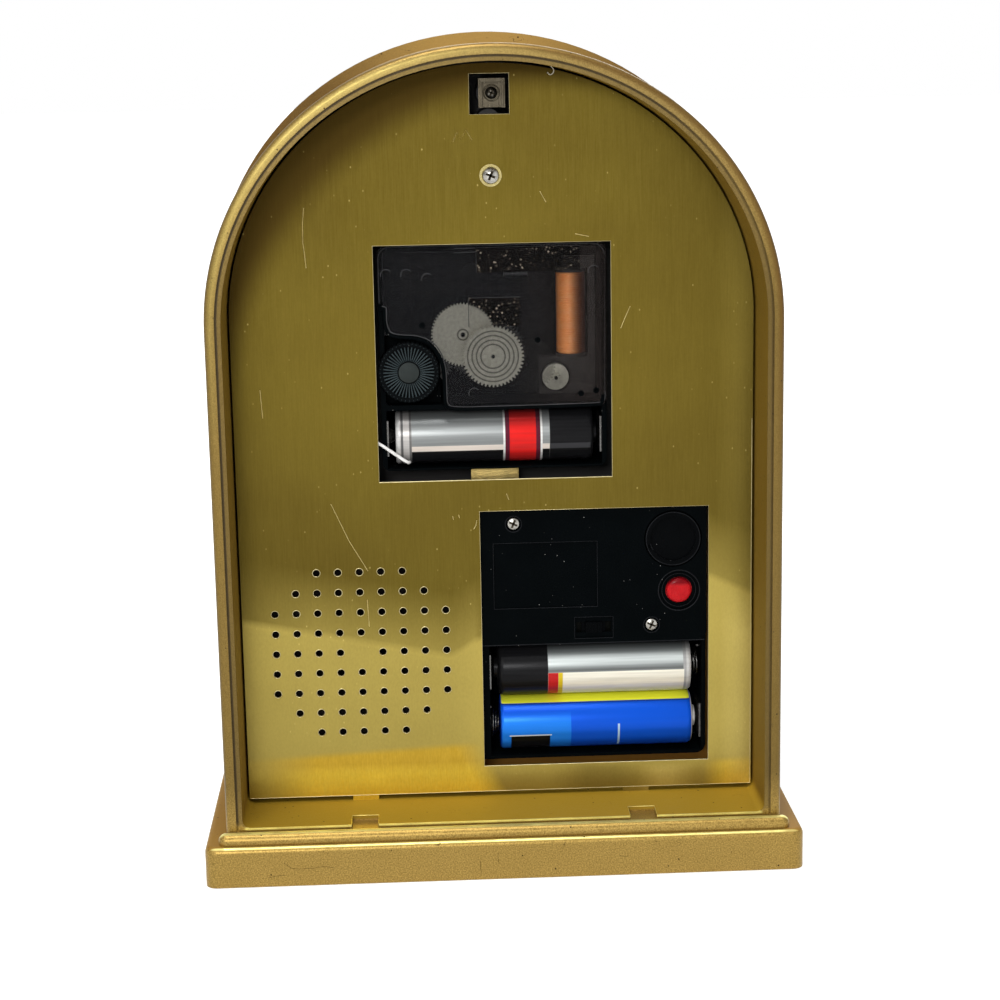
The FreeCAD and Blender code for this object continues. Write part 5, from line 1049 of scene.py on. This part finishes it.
class CLOCK_OT_movement(bpy.types.Operator):
    """Black movement case with its smoky cover, moulded marks drawn as painted highlight lines, and painted light on
    the case's lug
    """

    bl_idname = "clock.movement"
    bl_label = "Movement case"

    def execute(self, context):
        black = moulded_black("movement_moulding", screen(settings(context).moulding))
        dress(black, "movement_case")
        dress(smoky_clear("smoky_cover"), "movement_cover")
        rear = span_of("movement_cover")[0].y
        y = rear + 0.1
        # The cover's step, rim, fields, rings and marks are drawn as pale lines: real edges, painted as highlights.
        marks = [(COVER_RIM, 0.1), (two_sides(*COVER_SQUARE), 0.09), (two_sides(*COVER_LABEL), 0.07)]
        marks += [(((-9.1, z), (-4.0, z)), 0.1) for z in (153.5, 152.5)]
        marks += [(arc(middle, 1.35, 40, 200, 10), 0.11) for middle in COVER_RINGS]
        parts = [line("edge", level(y, COVER_STEP), 0.13, smooth=True)]
        parts += [line("edge", level(y, path), radius) for path, radius in marks]
        settle(joined(parts, "cover_edges"), moulded_black("cover_edge_highlight", (64, 64, 65), 0.3, 0.5), "smoky_cover")
        seam = line("cover_seam", [(x - 0.55, y, z - 0.55) for x, z in COVER_STEP], 0.45, smooth=True)
        settle(seam, black, "smoky_cover")
        # Painted light: a brighter gold face on the lug deep in the case.
        lug = block("lug_face", (-5.8, -2.25, 94.2), (6.3, -1.95, 97.1), 0.12)
        settle(lug, plain_metal("lug_lit_gold", (236, 208, 132), 0.42, 0.35, depth=0.06), "panel_gold")
        dots = [turned("dot", [(0.75, 0), (0.75, 0.12), (0.6, 0.2), (0.35, 0.12)], (x, rear + 0.12, z), sides=20)
                for x, z in COVER_DOTS]
        settle(joined(dots, "cover_dots"), black, "smoky_cover")
        return {"FINISHED"}


class CLOCK_OT_wheels(bpy.types.Operator):
    """Moulded wheels of the train"""

    bl_idname = "clock.wheels"
    bl_label = "Wheels"

    def execute(self, context):
        pale = screen(settings(context).wheels)
        dim = [part * 0.24 for part in pale]
        rows = [("second_wheel", pale, 0.5, (3.0, 4.1, 5.2, 6.3), 0.0), ("third_wheel", pale, 0.6, (1.3,), 0.0),
                ("step_wheel", dim, 0.7, (4.2,), 0.93)]
        rows += [(name, dim, 0.7, (2.2, 4.2), 0.0)
                 for name in ("centre_wheel", "motion_wheel", "hour_wheel", "setting_idler")]
        for name, *look in rows:
            dress(geared_plastic(name + "_plastic", name, *look), name)
        return {"FINISHED"}


class CLOCK_OT_knob(bpy.types.Operator):
    """Ribbed setting knob"""

    bl_idname = "clock.knob"
    bl_label = "Setting knob"

    def execute(self, context):
        black = moulded_black("knob_moulding", (8, 10, 11), 0.35)
        dress(black, "setting_knob")
        x, _, z = middle_of("setting_knob")
        rear = span_of("setting_knob")[0].y
        place = partial(settle, slot="black_moulding", body="knob_train")
        rib = block("knob_ribs", (2.75, rear + 0.03, -0.14), (7.2, rear + 0.75, 0.14), 0.1)
        only(rib)
        edit_all()
        bpy.ops.transform.rotate(value=math.radians(5), orient_axis="Z", center_override=at(6.6, rear, 0))
        bpy.ops.object.mode_set(mode="OBJECT")
        # The ribs are paler than the knob, as painted highlight.
        place(circled(rib, (x, z), 44), moulded_black("knob_rib_highlight", (52, 60, 62), 0.24))
        place(ring((x, rear + 0.5, z), 7.3, 0.18, 64, name="knob_lip"), black)
        hub = turned("knob_hub", [(2.65, -0.3), (2.65, 0.0), (2.45, 0.12), (0.9, 0.12), (0.65, 0.2), (0.2, 0.22)],
                     (x, rear + 0.08, z))
        place(hub, moulded_black("knob_hub_moulding", (46, 50, 49), 0.3))
        return {"FINISHED"}


class CLOCK_OT_motor(bpy.types.Operator):
    """Coil, bobbin, stator, magnet, board and crystal"""

    bl_idname = "clock.motor"
    bl_label = "Motor"

    def execute(self, context):
        choice = settings(context)
        copper = wound_copper("copper_wire", screen(choice.copper))
        low, high = span_of("coil_bobbin")
        x, y, _ = middle_of("coil_bobbin")
        bottom, top, turns = low.z + 0.8, high.z - 0.8, choice.coil_turns
        wire = (top - bottom) / turns / 2
        radius = (high.x - low.x) / 2 - wire - 0.06
        steps = turns * 14
        path = [(x + radius * math.cos(math.tau * step / 14), y + radius * math.sin(math.tau * step / 14),
                 bottom + wire + (top - bottom - 2 * wire) * step / steps) for step in range(steps + 1)]
        settle(line("coil_winding", path, wire, around=1), copper, "copper_wire", ["coil_wire"])
        dress(copper, "coil_core")
        dress(moulded_black("bobbin_plastic", (60, 56, 54)), "coil_bobbin")
        dress(plain_metal("yoke_laminations", (58, 56, 55), 0.45, 0.4), "stator")
        dress(geared_plastic("rotor_plastic", "rotor", screen(choice.wheels), 0.4), "rotor")
        dress(circuit_board("clock_board_fibre", (9, 9, 8)), "clock_board")
        dress(plain_metal("crystal_tin", (84, 84, 86), 0.3, 0.5), "crystal")
        return {"FINISHED"}


# The cells

def round_cell(name, node, nub_right):
    """A round battery along X: crimped ends, rolled sleeve and a raised cap."""
    low, high = span_of(node)
    radius = (high.z - low.z) / 2
    full = high.x - low.x
    flat = radius * 0.84
    profile = [(2.0, 0.25), (2.2, 0.05), (flat - 0.8, 0.05), (flat, 0.0), (radius - 0.35, 0.12), (radius - 0.08, 0.5),
               (radius, 1.0), (radius, full - 2.6), (radius - 0.12, full - 1.9), (radius - 0.5, full - 1.35),
               (radius - 0.7, full - 1.25), (flat - 0.9, full - 1.25), (flat - 1.2, full - 1.0), (2.75, full - 1.0),
               (2.7, full - 0.15), (2.4, full), (0.5, full)]
    _, y, z = middle_of(node)
    end, turn = (low.x, 90) if nub_right else (high.x, -90)
    return turned(name, profile, (end, y, z), (0, math.radians(turn), 0), 72, 30)


STEEL = (206, 205, 202)
BLACK = (7, 7, 8)
CLOCK_CELL = (
    (188, 184, 180),
    (-1, 1.0, -ROUND, ROUND, STEEL),
    (1.3, 1.9, -ROUND, ROUND, (96, 95, 94)),
    (3.4, 4.0, -ROUND, ROUND, (112, 110, 108)),
    (4.0, 38.4, -1.7, ROUND, (136, 139, 138)),
    # Painted highlight: a pale glint band along the silver sleeve.
    (4.0, 38.4, 1.3, 2.5, (178, 182, 181), 1.1),
    (4.0, 38.4, -3.1, -1.7, (226, 214, 202)),
    (4.0, 38.4, -ROUND, -3.1, BLACK),
    (26.8, 36.6, -ROUND, ROUND, (232, 230, 226)),
    (27.3, 36.1, -ROUND, ROUND, (90, 20, 40)),
    (28.4, 35.0, -ROUND, ROUND, (222, 30, 26)),
    (38.4, 60, -ROUND, ROUND, BLACK),
    (38.4, 48.6, -3.1, -1.7, (52, 52, 54)),
)
UPPER_CELL = (
    (170, 170, 168),
    (1.2, 48.4, 0.1, ROUND, (158, 164, 163)),
    # Painted highlight band along the sleeve, with painted shade below it.
    (1.2, 48.4, 2.5, 3.9, (236, 243, 241), 1.0),
    (1.2, 48.4, 0.1, 1.2, (104, 107, 106), 0.5),
    (1.2, 48.6, -ROUND, 0.1, (250, 245, 228)),
    (-2, 13.8, -ROUND, ROUND, BLACK),
    (13.8, 16.4, -ROUND, 0.1, (200, 34, 34)),
    (16.4, 17.5, -ROUND, 0.1, (226, 196, 40)),
    (49.2, 60, -ROUND, ROUND, STEEL),
)
LOWER_CELL = (
    (6, 78, 200),
    (0.3, 48.8, 5.8, ROUND, (252, 255, 62)),
    (0.3, 48.8, 5.5, 5.8, (20, 60, 150)),
    (0.3, 18.0, -ROUND, 2.6, (26, 118, 222), 1.4),
    (30.0, 30.5, -6, 0.5, (170, 200, 228)),
    (2.6, 12.6, -ROUND, -1.9, BLACK),
    (2.2, 13.0, -2.2, -1.9, (210, 216, 220)),
    (49.0, 60, -ROUND, ROUND, STEEL),
)


class CLOCK_OT_cells(bpy.types.Operator):
    """Three batteries in plain banded sleeves"""

    bl_idname = "clock.cells"
    bl_label = "Batteries"

    def execute(self, context):
        rows = (("clock_battery", "clock_cell", True, "cell_wrap", CLOCK_CELL, (1.8, 0.7), 0.3),
                ("upper_battery", "upper_cell", False, "cell_wrap_dark", UPPER_CELL, (3.6, 0.85), 0.3),
                ("lower_battery", "lower_cell", True, "cell_wrap_blue", LOWER_CELL, (6.2, 0.05), 0.04))
        for node, body, nub_right, slot, *look in rows:
            finish = sleeve(node + "_sleeve", node, *look)
            settle(round_cell(node + "_detail", node, nub_right), finish, slot, [node], body)
        return {"FINISHED"}


class CLOCK_OT_contacts(bpy.types.Operator):
    """Contact leaves and conical springs of the battery bays"""

    bl_idname = "clock.contacts"
    bl_label = "Contacts"

    def execute(self, context):
        steel = plain_metal("spring_steel", (104, 103, 101), 0.3, 0.5)
        dress(steel, "clock_contacts", "module_contacts")
        wire, foot, tip = 0.25, 3.95, 1.9
        steps = settings(context).spring_turns * 16
        for node, foot_right in (("upper_spring", True), ("lower_spring", False)):
            _, y, z = middle_of(node)
            start, end = [corner.x for corner in span_of(node)]
            start, end = (end - wire, start + wire) if foot_right else (start + wire, end - wire)
            path = []
            for step in range(steps + 1):
                share, turn = step / steps, math.tau * step / 16
                radius = foot + (tip - foot) * share
                path.append((start + (end - start) * share, y + radius * math.sin(turn), z + radius * math.cos(turn)))
            settle(line(node + "_wire", path, wire), steel, "contact_steel", [node])
        return {"FINISHED"}


# The music module

# Left, right, bottom and top
LABEL_RECESS = (-0.9, 25.3, 62.4, 79.4)
SWITCH_SLOT = (19.4, 29.2, 54.1, 59.7)


class CLOCK_OT_module(bpy.types.Operator):
    """Module case, lid with its bare label recess, volume dial, button and slide switch"""

    bl_idname = "clock.module"
    bl_label = "Music module"

    def execute(self, context):
        dress(moulded_black("module_moulding", screen(settings(context).moulding)), "module_case", "module_lid")
        black = moulded_black("control_moulding", (5, 6, 7), 0.32)
        dress(black, "volume_dial", "mode_switch")
        red = glossy_red("melody_red")
        dress(red, "melody_button")
        # Painted shade: the board behind the switch slot is near black.
        dress(circuit_board("module_board_fibre", (4, 5, 4)), "module_board")
        place = partial(settle, slot="black_moulding")
        # Pale beads and wires on the lid's edges and round the button, screws and dial are painted highlights.
        pale = moulded_black("lid_edge_highlight", (27, 28, 30), 0.25, 0.5)
        rear, dial, slide, top = [span_of(node)[0].y
                                  for node in ("module_lid", "volume_dial", "mode_switch", "melody_button")]
        y = rear + 0.06

        def rings(middle, *rows):
            """Beads about one middle; each row is its depth, radius, thickness and sides."""
            return [ring((middle[0], depth, middle[1]), *size) for depth, *size in rows]

        extra = rings(BUTTON, (rear + 0.08, 5.25, 0.16, 56), (rear + 0.5, 4.3, 0.1, 48))
        for middle in LID_SCREWS:
            extra += rings(middle, (y, 2.05, 0.13))
        wires("lid_edges", [(frame_points(*LABEL_RECESS, y), 0.11, True), (frame_points(*SWITCH_SLOT, y), 0.1, True),
                            (level(y, ((-5.6, 52.9), (52.5, 52.9))), 0.14)], pale, "black_moulding", extra)
        rims = rings(VOLUME, (dial + 0.12, 6.8, 0.16, 64), (dial + 0.35, 5.85, 0.12, 56))
        place(joined(rims, "dial_rims"), pale, body="volume")
        rib = block("dial_ribs", (6.72, dial + 0.3, -0.12), (6.99, dial + 1.9, 0.12), 0.04, 1)
        place(circled(rib, VOLUME, 48), black, body="volume")
        grips = [block("grip", (x - 0.15, slide - 0.12, 55.6), (x + 0.15, slide + 0.2, 58.2), 0.05, 1)
                 for x in (22.7, 23.5, 24.3, 25.1, 25.9)]
        place(joined(grips, "switch_grips"), black, body="mode")
        crown = turned("button_crown", [(2.9, -0.02), (2.75, 0.1), (2.0, 0.16), (1.0, 0.18)],
                       (BUTTON[0], top, BUTTON[1]))
        settle(crown, red, "button_red", body="melody")
        return {"FINISHED"}


class CLOCK_OT_speaker(bpy.types.Operator):
    """Speaker behind the holes and its two leads"""

    bl_idname = "clock.speaker"
    bl_label = "Speaker"

    def execute(self, context):
        dress(plain_metal("speaker_basket", (9, 8, 8), 0.6, 0.6), "speaker_frame")
        dress(paper_cone("speaker_paper"), "speaker_cone")
        for node, slot, colour in (("speaker_lead_a", "lead_red", (176, 30, 34)),
                                   ("speaker_lead_b", "lead_black", (26, 26, 28))):
            low, high = span_of(node)
            x, y, z = low.x + LEAD, high.y - LEAD, (low.z + high.z) / 2
            path = [(x, low.y, z), (x, (low.y + y) / 2, z), (x, y, z), (high.x, y, z)]
            settle(line(node + "_sleeve", path, LEAD, smooth=True, around=3), soft_sleeve(slot + "_sleeve", colour),
                   slot, [node])
        return {"FINISHED"}


LEAD_ROUTE = ((-21.2, -7.4, 100.3), (-21.25, -9.2, 100.4), (-22.2, -10.3, 101.0), (-25.2, -10.4, 103.2),
              (-28.8, -10.4, 105.8), (-33.2, -10.2, 108.2), (-33.9, -10.2, 101.4), (-33.9, -10.2, 94.0),
              (-29.0, -10.1, 93.0), (-15.0, -9.4, 93.0), (0.0, -8.9, 93.0), (3.9, -8.8, 92.9), (4.0, -8.8, 91.6),
              (4.0, -8.8, 90.0))


class CLOCK_OT_lead(bpy.types.Operator):
    """White lead from the music module to the movement"""

    bl_idname = "clock.lead"
    bl_label = "White lead"

    def execute(self, context):
        lead = line("white_lead", LEAD_ROUTE, LEAD, smooth=True, around=3)
        settle(lead, soft_sleeve("white_sleeve", (236, 235, 232)), "lead_white", ["trigger_lead"])
        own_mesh(lead)
        return {"FINISHED"}


# The front

# Where the numbers and the ticks sit, from the dial's middle
NUMBER_RADIUS = 38.0
TICK_START = 46.9


class CLOCK_OT_front(bpy.types.Operator):
    """Dial with its numbers, hands, lens, bezel, panel, nut and washer"""

    bl_idname = "clock.front"
    bl_label = "Front"

    def execute(self, context):
        dress(dial_paper("dial_print"), "dial_plate")
        dress(panel_sheet("panel_sheet"), "front_panel")
        dress(plain_metal("bezel_brass", (206, 168, 84), 0.24, 2.4, depth=0.004), "front_bezel")
        # Painted shade: a dark strip fills the gap between the front panel and the case.
        gap_path = level(span_of("front_panel")[1].y - 2.2, arch_points(64.75, 61.55, ARCH_SPRING, 15.8))
        settle(line("panel_gap_shade", gap_path, 0.2), moulded_black("gap_shade_dark", (14, 12, 8)), "panel_gold")
        dress(clear_lens("lens_clear"), "front_lens")
        dress(plain_metal("pipe_brass", (206, 174, 96), 0.25, 0.4), "minute_pipe", "mounting_washer", "mounting_nut")
        dress(moulded_black("hand_black", (16, 16, 18), 0.25, 0.6, 0.01), "hour_hand", "minute_hand", "second_hand")
        front = span_of("dial_plate")[1].y
        ink = moulded_black("dial_ink", (24, 22, 24), 0.4, 0.5, 0.01)
        numbers = []
        for hour in range(1, 13):
            clear()
            bpy.ops.object.text_add()
            text = active("numeral")
            text.data.body = str(hour)
            text.data.size = settings(context).numeral
            text.data.align_x = text.data.align_y = "CENTER"
            text.data.extrude = 0.08 * MM
            text.data.resolution_u = 4
            only(text)
            bpy.ops.object.convert(target="MESH")
            text = bpy.context.view_layer.objects.active
            turn = math.radians(90 - 30 * hour)
            text.rotation_euler = (math.radians(90), 0, math.radians(180))
            text.location = at(DIAL[0] - NUMBER_RADIUS * math.cos(turn), front + 0.06,
                               DIAL[1] + NUMBER_RADIUS * math.sin(turn))
            numbers.append(apply_place(text))
        settle(joined(numbers, "dial_numbers"), ink, "dial_print")
        minute = block("ticks", (TICK_START, front - 0.02, -0.12), (48.4, front + 0.12, 0.12), 0.04, 1)
        ticks = circled(minute, DIAL, 60)
        hour = block("hour_ticks", (TICK_START, front - 0.02, -0.4), (49.2, front + 0.16, 0.4), 0.06, 1)
        settle(joined([ticks, circled(hour, DIAL, 12)], "minute_ticks"), ink, "dial_print")
        return {"FINISHED"}


OPERATORS = (CLOCK_OT_stage, CLOCK_OT_case, CLOCK_OT_plate, CLOCK_OT_screws, CLOCK_OT_bracket, CLOCK_OT_movement,
             CLOCK_OT_wheels, CLOCK_OT_knob, CLOCK_OT_motor, CLOCK_OT_cells, CLOCK_OT_contacts, CLOCK_OT_module,
             CLOCK_OT_speaker, CLOCK_OT_lead, CLOCK_OT_front)


class CLOCK_PT_panel(bpy.types.Panel):
    """Lists the pieces of the clock"""

    bl_idname = "CLOCK_PT_panel"
    bl_label = "Table clock"
    bl_space_type = "VIEW_3D"
    bl_region_type = "UI"
    bl_category = "Clock"

    def draw(self, context):
        for name in ClockSettings.__annotations__:
            self.layout.prop(settings(context), name)
        for operator in OPERATORS:
            self.layout.operator(operator.bl_idname)


CLASSES = (ClockSettings, *OPERATORS, CLOCK_PT_panel)


def register():
    """Registers the add-on."""
    for item in CLASSES:
        bpy.utils.register_class(item)
    bpy.types.Scene.table_clock = PointerProperty(type=ClockSettings)


def unregister():
    """Removes the add-on."""
    del bpy.types.Scene.table_clock
    for item in reversed(CLASSES):
        bpy.utils.unregister_class(item)


def main():
    """Builds the dressed clock piece by piece."""
    register()
    for operator in OPERATORS:
        group, name = operator.bl_idname.split(".")
        getattr(getattr(bpy.ops, group), name)()
    clear()
    bpy.context.view_layer.update()


if __name__ == "__main__":
    main()
